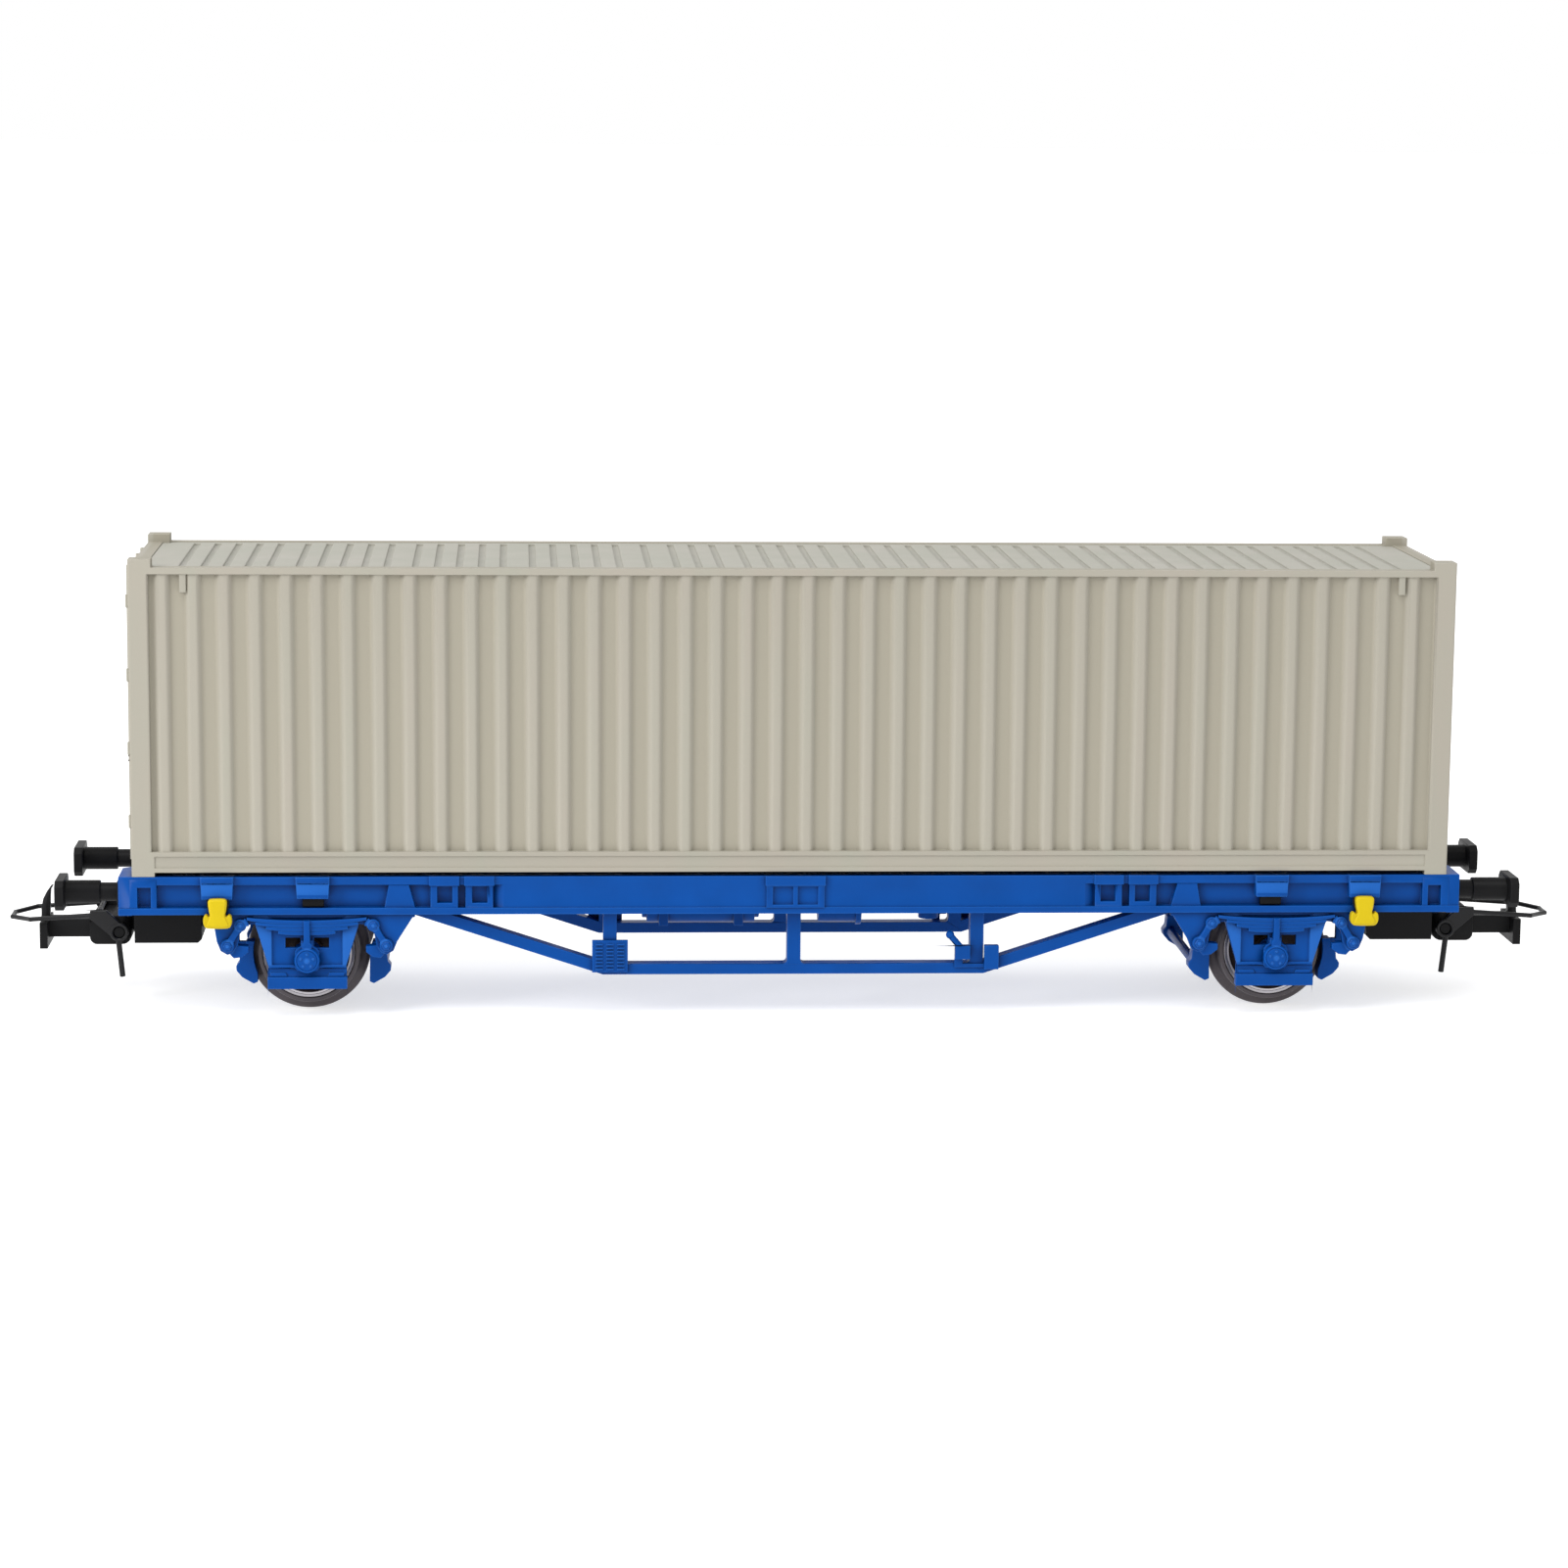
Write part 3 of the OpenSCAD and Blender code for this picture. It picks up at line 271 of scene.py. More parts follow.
def moulded(name, colour, painted_shade, edge, rough=(0.38, 0.5), specular=0.12, reach=1.0):
    """Injection-moulded plastic: flow clouds, painted shade in corners and recesses, a painted
    highlight along outer edges, spark-eroded grain.
    """
    f = Finish(name, specular=specular)
    clouds = f.noise(220, 5)
    tone = f.mix(f.spread(clouds, 0.3, 0.7), scaled(colour, 0.93), scaled(colour, 1.07))
    # painted highlight: outer edges take the lighter edge colour
    tone = f.mix(f.spread(f.rim(0.13), 0.5, 0.95), edge, tone)
    # painted shade: corners and recesses take the darker shade colour
    unshaded_part = f.spread(f.hollow(reach), 0.3, 0.93)
    f.colour(f.mix(unshaded_part, painted_shade, tone))
    f.rough(clouds, *rough)
    sink = f.bump(f.noise(700, 2), 0.02, 0.25)
    f.normal(f.bump(f.noise(5200, 2), 0.006, 0.8, sink))
    return f.material


def printed(name, colour, painted_shade, warm, cool, depth=None):
    """Cured printing resin: faint warm and cool streaks, layer lines and a waxy, uneven gloss.

    depth gives the places of the recessed panels along x and y; they carry painted shade, and the
    flanks of the ribs between the panels and the outer faces carry a painted highlight; corners
    and recesses carry painted shade too."""
    f = Finish(name, specular=0.15)
    patches = f.noise(140, 4, (1, 1, 0.35))
    streaks = f.noise(420, 3, (1, 1, 0.05))
    tint = f.mix(f.spread(patches, 0.35, 0.65), warm, cool)
    tone = f.mix(f.spread(streaks, 0.35, 0.65, 0.25, 0.75), colour, tint)
    if depth:
        proud = f.outwards(*depth)
        # painted shade: the recessed panels take the darker shade colour
        tone = f.mix(f.spread(proud, 0.03, 0.2), painted_shade, tone)
        # painted highlight: the flanks of the ribs are made a little lighter
        painted_flank_highlight = f.peak(proud, 0.12, 0.36, 0.56)
        tone = f.mix(painted_flank_highlight, tone, scaled(colour, 1.04))
    # painted shade in corners and recesses, a little darker than on the panels
    unshaded_part = f.spread(f.hollow(0.7), 0.3, 0.9)
    f.colour(f.mix(unshaded_part, scaled(painted_shade, 0.92), tone))
    f.rough(patches, 0.48, 0.64)
    layers = f.add("ShaderNodeTexWave", wave_type="BANDS", bands_direction="Z")
    layers.inputs["Scale"].default_value = 3200
    layers.inputs["Distortion"].default_value = 0.6
    f.join(f.place, layers.inputs["Vector"])
    lines = f.bump(layers.outputs["Fac"], 0.004, 0.35)
    f.normal(f.bump(f.noise(2600, 3), 0.01, 0.35, lines))
    return f.material


def turned(name, colour, rough, metallic=1.0, specular=0.5, axis=(1, 40, 1)):
    """Turned or rolled metal: fine tool marks and slightly uneven oxide."""
    f = Finish(name, metallic=metallic, specular=specular)
    clouds = f.noise(380, 4)
    marks = f.noise(900, 3, axis)
    dark, pale = scaled(colour, 1 - BLOTCH), scaled(colour, 1 + BLOTCH)
    f.colour(f.mix(f.spread(clouds, 0.3, 0.7), dark, pale))
    f.rough(clouds, rough - 0.06, rough + 0.08)
    f.normal(f.bump(marks, 0.004, 0.5))
    return f.material


# Blue plastic: its colour, then painted shade for corners and recesses, then a painted highlight
# for outer edges.
BLUE = (0.0006, 0.05, 0.245)
BLUE_PAINTED_SHADE = (0.0003, 0.013, 0.075)
BLUE_PAINTED_HIGHLIGHT = (0.012, 0.095, 0.37)
BLACK = (0.006, 0.006, 0.0065)
RESIN = (0.308, 0.289, 0.243)
# Places of the container's recessed panels along x and y, in millimetres.
PANELS = (69.35, 13.3)
# In each moulded and printed finish the colour after the base colour is painted shade for corners
# and recesses; in moulded finishes the next colour is a painted highlight along outer edges.
MATERIALS = {
    "blue_plastic": moulded("blue_plastic", BLUE, BLUE_PAINTED_SHADE, BLUE_PAINTED_HIGHLIGHT, (0.3, 0.42), 0.085),
    "black_plastic": moulded(
        "black_plastic", BLACK, scaled(BLACK, 0.4), scaled(BLACK, 2.2), specular=0.1
    ),
    "black_wire": turned("black_wire", (0.01, 0.01, 0.011), 0.35, metallic=0.0, specular=0.2),
    "yellow_plastic": moulded(
        "yellow_plastic", (0.47, 0.35, 0.0015), (0.27, 0.16, 0.0008), (0.57, 0.43, 0.008),
        (0.3, 0.42), 0.14, 0.5
    ),
    "container_resin": printed(
        "container_resin", RESIN, (0.284, 0.264, 0.212), (0.318, 0.287, 0.243),
        (0.298, 0.293, 0.243), PANELS
    ),
    "container_roof_resin": printed(
        "container_roof_resin", (0.325, 0.318, 0.276), (0.29, 0.28, 0.24), (0.33, 0.314, 0.274),
        (0.318, 0.32, 0.276)
    ),
    "blackened_tyre": turned(
        "blackened_tyre", (0.064, 0.055, 0.06), 0.42, metallic=0.2, specular=0.3
    ),
    "brown_plastic": moulded(
        "brown_plastic", (0.026, 0.017, 0.016), (0.01, 0.007, 0.007), (0.05, 0.035, 0.035),
        specular=0.15
    ),
    "axle_steel": turned("axle_steel", (0.46, 0.44, 0.46), 0.34),
    "cup_brass": turned("cup_brass", (0.6, 0.43, 0.16), 0.3),
    "ballast_steel": turned("ballast_steel", (0.26, 0.26, 0.27), 0.4, axis=(40, 1, 1)),
}

# ---------------------------------------------------------------- shape helpers

SMOOTH_TO = math.radians(38)
CRISP_TO = math.radians(30)
SHARP_FROM = math.radians(30)
WELD = 2e-7
FLAT_TO = math.radians(0.6)
WIDEST_ROUNDING = 0.3
replaced = set()


def to_piece(name, shape, body, slot, stands_for=(), smooth=SMOOTH_TO):
    """Turns a bmesh in millimetres into a piece that rides on a body."""
    bmesh.ops.scale(shape, vec=(MM, MM, MM), verts=shape.verts)
    return keep_piece(name, shape, body, slot, stands_for, smooth)


def keep_piece(name, shape, body, slot, stands_for=(), smooth=SMOOTH_TO):
    """Turns a bmesh in metres into a piece that rides on a body."""
    bmesh.ops.recalc_face_normals(shape, faces=shape.faces)
    for face in shape.faces:
        face.smooth = True
    mesh = bpy.data.meshes.new(name)
    shape.to_mesh(mesh)
    shape.free()
    mesh.set_sharp_from_angle(angle=smooth)
    mesh.materials.append(MATERIALS[slot])
    piece = bpy.data.objects.new(name, mesh)
    scene.collection.objects.link(piece)
    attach(piece, body)
    if stands_for:
        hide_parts(*stands_for)
        replaced.update(stands_for)
    return piece


def sharp_edges(shape, angle):
    return [
        e for e in shape.edges
        if len(e.link_faces) == 2 and e.calc_face_angle(0) > angle
    ]


def room_at(edge):
    """Half the room that a rounded edge has beside the edges it meets."""
    along = (edge.verts[1].co - edge.verts[0].co).normalized()
    room = 1.0
    for vert in edge.verts:
        for other in vert.link_edges:
            if other is edge:
                continue
            way = other.verts[1].co - other.verts[0].co
            length = way.length
            if length and abs(way.normalized().dot(along)) < 0.8:
                room = min(room, length)
    return 0.42 * room


def soften(node, width=0.07, segments=2, wide=None):
    """A copy of a CAD node with its sharp edges rounded, which stands for the node.

    wide(edge) gives another width in millimetres for some edges, or None."""
    shape = bmesh.new()
    shape.from_mesh(frame["nodes"][node].data)
    bmesh.ops.remove_doubles(shape, verts=shape.verts, dist=WELD)
    bmesh.ops.dissolve_limit(shape, angle_limit=FLAT_TO, verts=shape.verts, edges=shape.edges)
    bmesh.ops.connect_verts_concave(shape, faces=shape.faces)
    weights = shape.edges.layers.float.new("bevel_weight_edge")
    for edge in sharp_edges(shape, SHARP_FROM):
        asked = (wide(edge) if wide else None) or width
        edge[weights] = min(asked, room_at(edge) / MM) / WIDEST_ROUNDING
    slot = SLOT_OF[node]
    piece = keep_piece(node + "_moulded", shape, BODY_OF[node], slot, (node,))
    rounding = piece.modifiers.new("rounded_edges", "BEVEL")
    rounding.limit_method = "WEIGHT"
    rounding.width = WIDEST_ROUNDING * MM
    rounding.segments = segments
    rounding.use_clamp_overlap = False
    return piece


def lathe(shape, profile, centre, steps=128):
    """Turns a closed profile of (radius, place along y) about an axis along y through centre."""
    rings = []
    for k in range(steps):
        turn = 2 * math.pi * k / steps
        c, s = math.cos(turn), math.sin(turn)
        ring = []
        for r, along in profile:
            ring.append(shape.verts.new(Vector(centre) + Vector((r * c, along, r * s))))
        rings.append(ring)
    for k in range(steps):
        a, b = rings[k], rings[(k + 1) % steps]
        for i in range(len(profile)):
            j = (i + 1) % len(profile)
            quad = [a[i], a[j], b[j], b[i]]
            shape.faces.new(quad)
    flat = [v for ring in rings for v in ring]
    bmesh.ops.remove_doubles(shape, verts=flat, dist=1e-4)
    empty = [f for f in shape.faces if f.calc_area() < 1e-9]
    bmesh.ops.delete(shape, geom=empty, context="FACES")


def moved(points, x0, z0, flip=1):
    """An outline moved to a place, and mirrored along x where flip is -1."""
    return [(x0 + flip * x, z0 + z) for x, z in points]


def mirrored(half):
    """A whole outline from its right half."""
    return half + [(-x, z) for x, z in reversed(half)]


def rounded_plate(shape, outline, back, front, edge=0.15, steps=3):
    """A plate with this outline in x and z whose front rim is rounded; the front lies at front."""
    outline = [Vector(p) for p in outline]
    away = 1 if front > back else -1
    layers = [(0.0, back)]
    for k in range(steps + 1):
        turn = 0.5 * math.pi * k / steps
        layers.append((edge * (1 - math.cos(turn)), front - away * edge * (1 - math.sin(turn))))
    rings = []
    for inset, depth in layers:
        ring = []
        for p in inset_outline(outline, inset):
            ring.append(shape.verts.new((p.x, depth, p.y)))
        rings.append(ring)
    for a, b in zip(rings, rings[1:]):
        for i in range(len(a)):
            j = (i + 1) % len(a)
            shape.faces.new([a[i], a[j], b[j], b[i]])
    shape.faces.new(rings[0])
    shape.faces.new(rings[-1])


def inset_outline(points, inset):
    """The outline drawn inwards by a distance."""
    if not inset:
        return points
    area = sum(p.x * q.y - q.x * p.y for p, q in zip(points, points[1:] + points[:1]))
    side = 1 if area > 0 else -1
    moved = []
    for i, p in enumerate(points):
        before, after = points[i - 1], points[(i + 1) % len(points)]
        d1, d2 = (p - before).normalized(), (after - p).normalized()
        n = (Vector((-d1.y, d1.x)) + Vector((-d2.y, d2.x))) * side
        n = n.normalized() / max(0.5, (n.length / 2)) if n.length else n
        moved.append(p + n * inset)
    return moved


def smooth_loop(points, rounds=2):
    """Cuts the corners of a closed outline so that it runs in curves."""
    points = [Vector(p) for p in points]
    for _ in range(rounds):
        cut = []
        for p, q in zip(points, points[1:] + points[:1]):
            cut += [p * 0.75 + q * 0.25, p * 0.25 + q * 0.75]
        points = cut
    return points


# ---------------------------------------------------------------- places taken from the frame

WHEEL_WIDTH = 2.8
GUARD_Y = 13.8
SILL_TOP = 15.5
FLAP_MIDDLE_Y = 14.3
TRUNNION_X = 72.4
COUPLER_Z = 7.55
# Each flap's place outwards from the axle, its width and its drop.
FLAPS = ((9.4, 3.4, 2.4), (-0.65, 3.5, 2.3))
ENDS = {"a": -1, "b": 1}
SIDES = {"right": -1, "left": 1}


def middle_of(node):
    low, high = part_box(node)
    return (low + high) / 2 / MM


# ---------------------------------------------------------------- wheels


def make_wheels(end):
    centre = middle_of(f"axle_{end}")
    low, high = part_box(f"wheel_tyres_{end}")
    face, rim_r = high.y / MM, (high.z - low.z) / 2 / MM
    tyres, rings, discs = bmesh.new(), bmesh.new(), bmesh.new()
    for side in (-1, 1):
        def at(depth):
            return side * (face - WHEEL_WIDTH + depth)

        r = rim_r
        tyre = [
            (4.65, 0.0), (r - 0.4, 0.0), (r - 0.2, 0.03), (r - 0.07, 0.12), (r - 0.01, 0.25),
            (r, 0.35), (r - 0.05, 0.5), (r - 0.22, 0.63), (r - 0.5, 0.7), (r - 0.78, 0.76),
            (r - 0.93, 0.84), (r - 1.0, 0.98), (r - 1.1, 2.62), (r - 1.14, 2.72), (r - 1.22, 2.74),
            (5.0, 2.74), (4.94, 2.68), (4.9, 2.5), (4.65, 2.3),
        ]
        lathe(tyres, [(a, at(b)) for a, b in tyre], centre)
        band = [
            (4.34, 2.2), (4.34, 2.66), (4.37, 2.7), (4.56, 2.7), (4.585, 2.62), (4.61, 2.7),
            (4.84, 2.74), (4.88, 2.7), (4.9, 2.5), (4.62, 2.2),
        ]
        lathe(rings, [(a, at(b)) for a, b in band], centre)
        disc = [
            (1.0, 0.0), (1.5, 0.05), (1.55, 0.5), (1.8, 0.7), (4.1, 0.72), (4.33, 0.62),
            (4.38, 0.2), (4.65, 0.2), (4.65, 2.1), (4.6, 2.18), (4.4, 2.18), (4.33, 2.12),
            (4.2, 1.75), (3.9, 1.62), (2.4, 1.5), (1.85, 1.62), (1.6, 1.8), (1.52, 2.3),
            (1.45, 2.4), (1.0, 2.4),
        ]
        lathe(discs, [(a, at(b)) for a, b in disc], centre)
    body = f"wheelset_{end}"
    to_piece(f"tyres_{end}", tyres, body, "blackened_tyre", (f"wheel_tyres_{end}",))
    to_piece(f"tyre_bright_rings_{end}", rings, body, "axle_steel")
    to_piece(f"discs_{end}", discs, body, "brown_plastic", (f"wheel_discs_{end}",))


# ---------------------------------------------------------------- tow hooks and the painted shade of their slots


def make_hook(end, side):
    """A tow hook: an outlined body, a proud crown and its root, and a black plate behind it that
    is painted shade of the slot in the sill.
    """
    node = f"tow_hook_{end}_{side}"
    low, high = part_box(node)
    x0 = middle_of(node).x
    z0 = low.z / MM
    outer = SIDES[side] * max(abs(low.y), abs(high.y)) / MM
    inner = SIDES[side] * min(abs(low.y), abs(high.y)) / MM
    half = [
        (0.7, 3.2), (0.95, 3.06), (1.0, 2.75), (0.93, 2.1), (0.82, 1.55), (0.82, 1.42),
        (0.9, 1.3), (1.0, 1.38), (1.12, 1.5), (1.3, 1.5), (1.45, 1.32), (1.52, 0.95),
        (1.5, 0.5), (1.3, 0.12), (0.9, 0.0),
    ]
    outline = smooth_loop(moved(mirrored(half), x0, z0))
    shape = bmesh.new()
    s = SIDES[side]
    back = outer - s * 0.95
    rounded_plate(shape, outline, back, outer - s * 0.12, 0.17, 5)
    crown = [(0.8, 3.12), (0.9, 2.7), (0.76, 1.6), (0.78, 1.2), (1.15, 0.55), (1.1, 0.2)]
    crown = smooth_loop(moved(mirrored(crown), x0, z0))
    rounded_plate(shape, crown, outer - s * 0.3, outer, 0.13, 5)
    root = [(-0.8, 1.32), (0.8, 1.32), (0.8, 2.06), (-0.8, 2.06)]
    rounded_plate(shape, moved(root, x0, z0), inner, back + s * 0.05, 0.05)
    to_piece(f"hook_{end}_{side}", shape, "wagon", "yellow_plastic", (node,))
    # painted shade: a black plate where the slot behind the hook lies in shade
    socket = [(-0.85, 1.5), (0.85, 1.5), (1.16, 2.3), (1.16, 3.1), (-1.16, 3.1), (-1.16, 2.3)]
    shape = bmesh.new()
    rounded_plate(shape, moved(socket, x0, z0), back - s * 0.2, back + s * 0.03, 0.04)
    to_piece(f"hook_socket_{end}_{side}", shape, "wagon", "black_plastic")


# ---------------------------------------------------------------- axle boxes, guards and springs


def make_axle_box(end, side):
    """The axle box: its plate, a turned cover with a ring of bolts, and the cap in the middle."""
    node = f"axle_box_{end}_{side}"
    low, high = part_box(node)
    centre = middle_of(f"axle_{end}")
    s = SIDES[side]
    back = min(abs(low.y), abs(high.y)) / MM
    plate = [
        (-1.28, -0.9), (-1.0, -1.2), (1.0, -1.2), (1.28, -0.9), (1.28, 0.9), (1.05, 1.25),
        (0.62, 1.5), (0.62, 2.1), (-0.62, 2.1), (-0.62, 1.5), (-1.05, 1.25), (-1.28, 0.9),
    ]
    shape = bmesh.new()
    rounded_plate(shape, moved(plate, centre.x, centre.z), s * back, s * (back + 0.25), 0.12)
    cover = [
        (0.0, 0.1), (1.3, 0.1), (1.36, 0.3), (1.36, 0.55), (1.28, 0.7), (1.14, 0.76), (1.08, 0.7),
        (1.02, 0.76), (0.6, 0.86), (0.0, 0.88),
    ]
    at = (centre.x, 0, centre.z)
    lathe(shape, [(r, s * (back + d)) for r, d in cover], at, steps=64)
    for k in range(5):
        turn = 2 * math.pi * (k + 0.25) / 5
        bolt = (centre.x + 0.7 * math.cos(turn), 0, centre.z + 0.7 * math.sin(turn))
        head = [(0.0, 0.76), (0.17, 0.76), (0.16, 0.9), (0.1, 0.95), (0.0, 0.95)]
        lathe(shape, [(r, s * (back + d)) for r, d in head], bolt, steps=6)
    cap = [(0.0, 0.8), (0.3, 0.8), (0.26, 0.92), (0.0, 0.95)]
    lathe(shape, [(r, s * (back + d)) for r, d in cap], at, steps=24)
    to_piece(f"axle_box_cover_{end}_{side}", shape, "wagon", "blue_plastic", (node,), CRISP_TO)


def make_guard_face(end, side):
    """Rims of the axle guard with upright inner edges, and the fillets at its foot."""
    centre = middle_of(f"axle_{end}")
    s = SIDES[side]
    front = GUARD_Y - 0.04
    shape = bmesh.new()
    for m in (-1, 1):
        rim = [(5.75, 4.85), (4.12, -0.68), (3.72, -0.68), (3.72, 3.6), (4.1, 4.85)]
        rim = moved(rim, centre.x, centre.z, m)
        rounded_plate(shape, rim, s * (front - 0.3), s * front, 0.09)
        step = [(3.9, -1.9), (3.9, -1.45), (2.3, -1.45), (2.1, -1.9)]
        step = moved(step, centre.x, centre.z, m)
        rounded_plate(shape, step, s * (front - 0.4), s * (front - 0.12), 0.08)
    to_piece(f"guard_face_{end}_{side}", shape, "wagon", "blue_plastic")


LEAF_STEP = 0.4
LEAF_POINTS = 16
SHACKLE_NUTS = (((7.0, 3.75), 0.66), ((8.35, 1.55), 0.7))


def leaf_line(x, level):
    """Height of the top of a spring leaf over the axle, at a distance from the buckle."""
    return 4.28 - LEAF_STEP * level + 0.3 * (x / 6) ** 2


def shackle_link(start, end, width):
    """A flat link between two pins, a little narrower in the middle."""
    run = end - start
    out = Vector((-run.y, run.x)).normalized() * width
    a, b, c, d = start + out, start - out, end - out, end + out
    return [a, b, (b + c) / 2 + out * 0.3, c, d, (a + d) / 2 - out * 0.3]


def make_spring(end, side):
    """Four leaves under the sill, the buckle, and the shackles with their nuts."""
    centre = middle_of(f"axle_{end}")
    s = SIDES[side]
    shape = bmesh.new()
    for level, half in enumerate((6.3, 5.4, 4.3, 3.0)):
        xs = [half * (2 * k / LEAF_POINTS - 1) for k in range(LEAF_POINTS + 1)]
        top = [(x, leaf_line(x, level)) for x in xs]
        low = [
            (x, leaf_line(x, level) - LEAF_STEP + 0.1 * (x / half) ** 6) for x in reversed(xs)
        ]
        leaf = moved(top + low, centre.x, centre.z)
        front = GUARD_Y + 0.46 - 0.03 * level
        rounded_plate(shape, leaf, s * (GUARD_Y - 0.05), s * front, 0.05)
    pillar = [
        (-0.34, 4.3), (-0.34, 2.0), (-0.55, 1.7), (-0.5, 1.2), (0.5, 1.2), (0.55, 1.7),
        (0.34, 2.0), (0.34, 4.3),
    ]
    pillar = moved(pillar, centre.x, centre.z)
    rounded_plate(shape, pillar, s * GUARD_Y, s * (GUARD_Y + 0.72), 0.14)
    for m in (-1, 1):
        eye, knee, foot = (m * 6.2, 4.15), (m * 7.0, 3.75), (m * 8.35, 1.55)
        for p, q, width in ((eye, knee, 0.5), (knee, foot, 0.42)):
            link = shackle_link(Vector(p), Vector(q), width)
            plate = smooth_loop(moved(link, centre.x, centre.z), 1)
            rounded_plate(shape, plate, s * (GUARD_Y - 0.1), s * (GUARD_Y + 0.42), 0.12)
        for (x, z), size in SHACKLE_NUTS:
            place = (centre.x + m * x, 0, centre.z + z)
            washer = [(0.0, -0.1), (size, -0.1), (size, 0.38), (size - 0.08, 0.47), (0.0, 0.48)]
            nut = [(0.0, 0.4), (0.46, 0.4), (0.46, 0.58), (0.36, 0.65), (0.0, 0.65)]
            pin = [(0.0, 0.6), (0.19, 0.6), (0.19, 0.68), (0.13, 0.72), (0.0, 0.72)]
            for profile, steps in ((washer, 32), (nut, 6), (pin, 16)):
                lathe(shape, [(r, s * (GUARD_Y + d)) for r, d in profile], place, steps=steps)
        hanger = [
            (7.9, 1.0), (8.3, 0.7), (7.75, 0.1), (6.9, 0.2), (6.2, 0.75), (6.2, 1.35), (7.3, 1.5),
        ]
        hanger = moved(hanger, centre.x, centre.z, m)
        rounded_plate(shape, hanger, s * (GUARD_Y - 1.5), s * (GUARD_Y - 0.2), 0.1)
    to_piece(
        f"spring_{end}_{side}", shape, "wagon", "blue_plastic", (f"leaf_spring_{end}_{side}",),
        CRISP_TO
    )


# ---------------------------------------------------------------- flaps, couplers and tablets


def make_flap(name, x, width, drop, side):
    """A thick plate folded over the sill, with a rolled lower edge."""
    s = SIDES[side]
    section = [
        (14.05, 0.0), (14.42, 0.0), (14.6, -0.06), (14.66, -0.2), (14.66, -0.5), (14.6, -0.62),
        (14.5, -0.68), (14.5, -0.8), (14.56, -0.95), (14.6, -drop + 0.45), (14.66, -drop + 0.25),
        (14.62, -drop + 0.08), (14.48, -drop), (14.05, -drop),
    ]
    shape = bmesh.new()
    outline = [(s * y, SILL_TOP + z) for y, z in section]
    taper = 0.12
    rings = []
    for along, inset in ((-1, 0.08), (-0.96, 0.0), (0.96, 0.0), (1, 0.08)):
        ring = []
        for y, z in outline:
            narrow = width / 2 - taper * (SILL_TOP - z) / drop
            pinch = s * FLAP_MIDDLE_Y + (y - s * FLAP_MIDDLE_Y) * (1 - inset)
            ring.append(shape.verts.new((x + along * narrow, pinch, z)))
        rings.append(ring)
    for a, b in zip(rings, rings[1:]):
        for i in range(len(a)):
            j = (i + 1) % len(a)
            shape.faces.new([a[i], a[j], b[j], b[i]])
    shape.faces.new(rings[0])
    shape.faces.new(rings[-1])
    to_piece(name, shape, "wagon", "blue_plastic")


def make_horn(end):
    """The hook blade that stands on the coupler's plate, and the rings round the trunnions."""
    low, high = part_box(f"coupler_head_{end}")
    out = ENDS[end]
    tip_x = max(abs(low.x), abs(high.x)) / MM
    top = high.z / MM
    blade = [
        (0.0, -3.9), (0.0, -2.4), (-0.2, -1.4), (-0.55, -0.7), (-1.05, 0.0), (-1.0, -0.8),
        (-0.95, -1.8), (-0.9, -3.9),
    ]
    blade = moved(blade, out * tip_x, top, out)
    shape = bmesh.new()
    for s in (-1, 1):
        rounded_plate(shape, blade, 0, s * 0.62, 0.14)
    to_piece(f"hook_blade_{end}", shape, f"coupler_{end}", "black_plastic")
    low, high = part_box(f"coupler_bow_{end}")
    face = high.y / MM
    shape = bmesh.new()
    ring = [(0.66, -0.2), (1.0, -0.2), (1.0, 0.06), (0.94, 0.12), (0.76, 0.12), (0.66, 0.04)]
    trunnion = (out * TRUNNION_X, 0, COUPLER_Z)
    for s in (-1, 1):
        lathe(shape, [(r, s * (face + d)) for r, d in ring], trunnion, steps=48)
    to_piece(f"trunnion_rings_{end}", shape, f"bow_{end}", "black_wire")


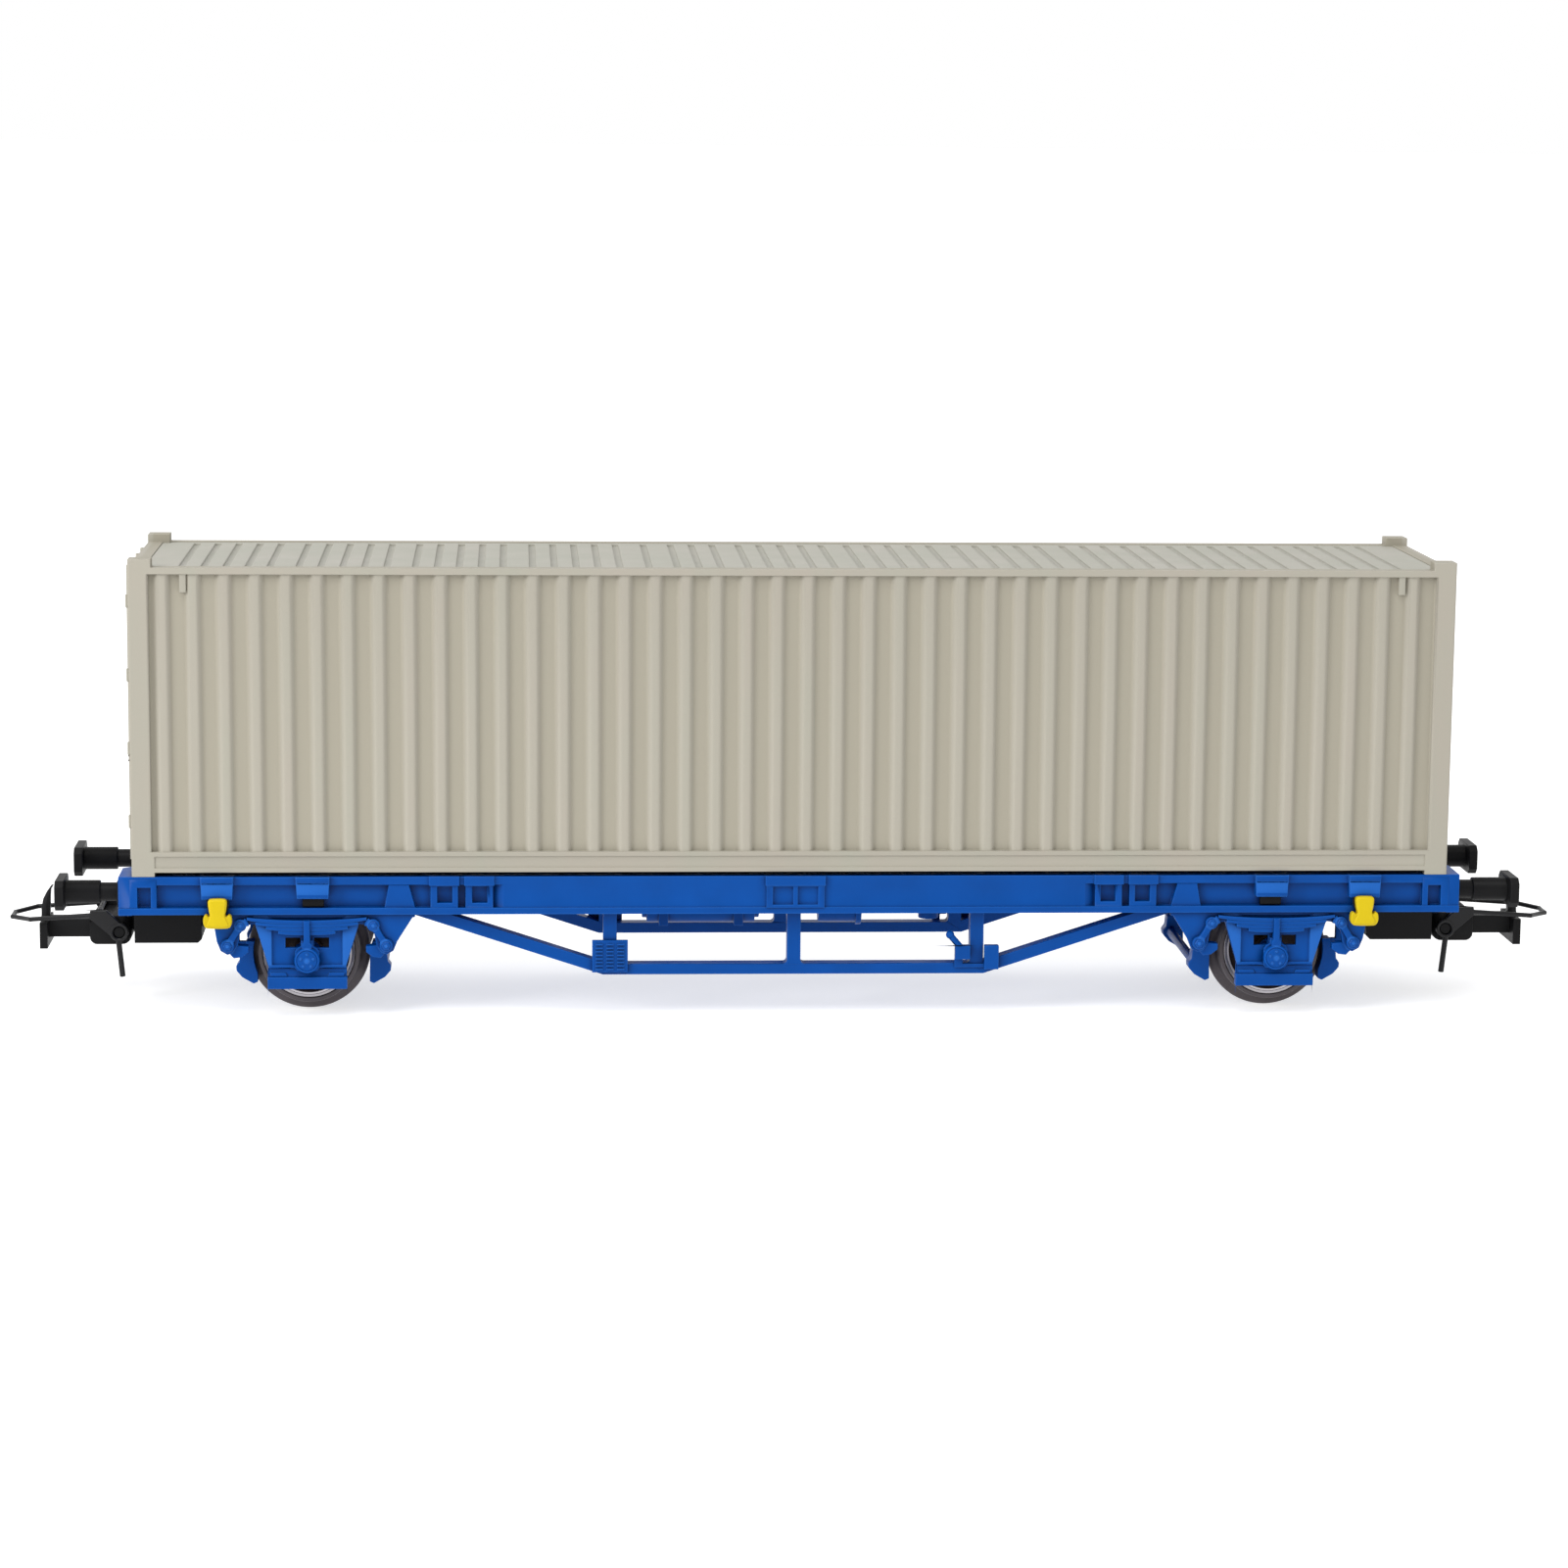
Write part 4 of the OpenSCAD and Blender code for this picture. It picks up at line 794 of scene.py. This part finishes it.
def make_flap_recess_shade(end, side):
    """A black block under the flap beside the axle: painted shade of the recess there."""
    s = SIDES[side]
    x = middle_of(f"axle_{end}").x
    out = ENDS[end]
    shape = bmesh.new()
    # painted shade: a black block where the recess under the flap lies in shade
    shade_outline = [(1.8, 12.2), (-0.45, 12.2), (-0.45, 12.95), (-0.2, 13.15), (1.6, 13.15), (1.8, 12.95)]
    shade_outline = moved(shade_outline, x, 0, -out)
    rounded_plate(shape, shade_outline, s * 13.3, s * 13.85, 0.1)
    to_piece(f"flap_catch_{end}_{side}", shape, "wagon", "black_plastic")


DASH_X, DASH_Z = 0.38, 0.09


def make_tablet(side):
    """The load tablet: a plate with blank raised dashes in a grid."""
    node = f"load_panel_{side}"
    low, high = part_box(node)
    s = SIDES[side]
    inner = min(abs(low.y), abs(high.y)) / MM
    x0, x1, z0, z1 = low.x / MM, high.x / MM, low.z / MM, high.z / MM
    plate = [(x0, z0), (x1, z0), (x1, z1), (x0, z1)]
    shape = bmesh.new()
    rounded_plate(shape, plate, s * inner, s * (inner + 0.38), 0.08)
    for col in range(3):
        for row in range(4):
            cx = x0 + (x1 - x0) * (0.2 + 0.3 * col)
            cz = z0 + (z1 - z0) * (0.16 + 0.22 * row)
            for half in (-0.2, 0.2):
                z = cz + half
                dash = [
                    (cx - DASH_X, z - DASH_Z), (cx + DASH_X, z - DASH_Z),
                    (cx + DASH_X, z + DASH_Z), (cx - DASH_X, z + DASH_Z),
                ]
                rounded_plate(shape, dash, s * (inner + 0.3), s * (inner + 0.55), 0.06)
    to_piece(f"load_tablet_{side}", shape, "wagon", "blue_plastic", (node,))


# ---------------------------------------------------------------- the whole wagon


RIB_ROUNDING = 0.22
RIB_AT_LEAST = 20


def rib_edge(edge):
    """Long upright edges of the ribs are rounded wide; other edges keep the usual width."""
    a, b = edge.verts[0].co, edge.verts[1].co
    return RIB_ROUNDING if abs(a.z - b.z) >= RIB_AT_LEAST * MM else None


for end in ENDS:
    make_wheels(end)
    make_horn(end)
    for side in SIDES:
        make_hook(end, side)
        make_axle_box(end, side)
        make_guard_face(end, side)
        make_spring(end, side)
        make_flap_recess_shade(end, side)
        axle_x = abs(middle_of(f"axle_{end}").x)
        for k, (along, width, drop) in enumerate(FLAPS):
            x = ENDS[end] * (axle_x + along)
            make_flap(f"flap_{k + 1}_{end}_{side}", x, width, drop, side)
for side in SIDES:
    make_tablet(side)
soften("container_shell", width=0.06, segments=3, wide=rib_edge)
soften("container_roof", width=0.12, segments=3)
for node in sorted(set(frame["nodes"]) - replaced):
    soften(node)
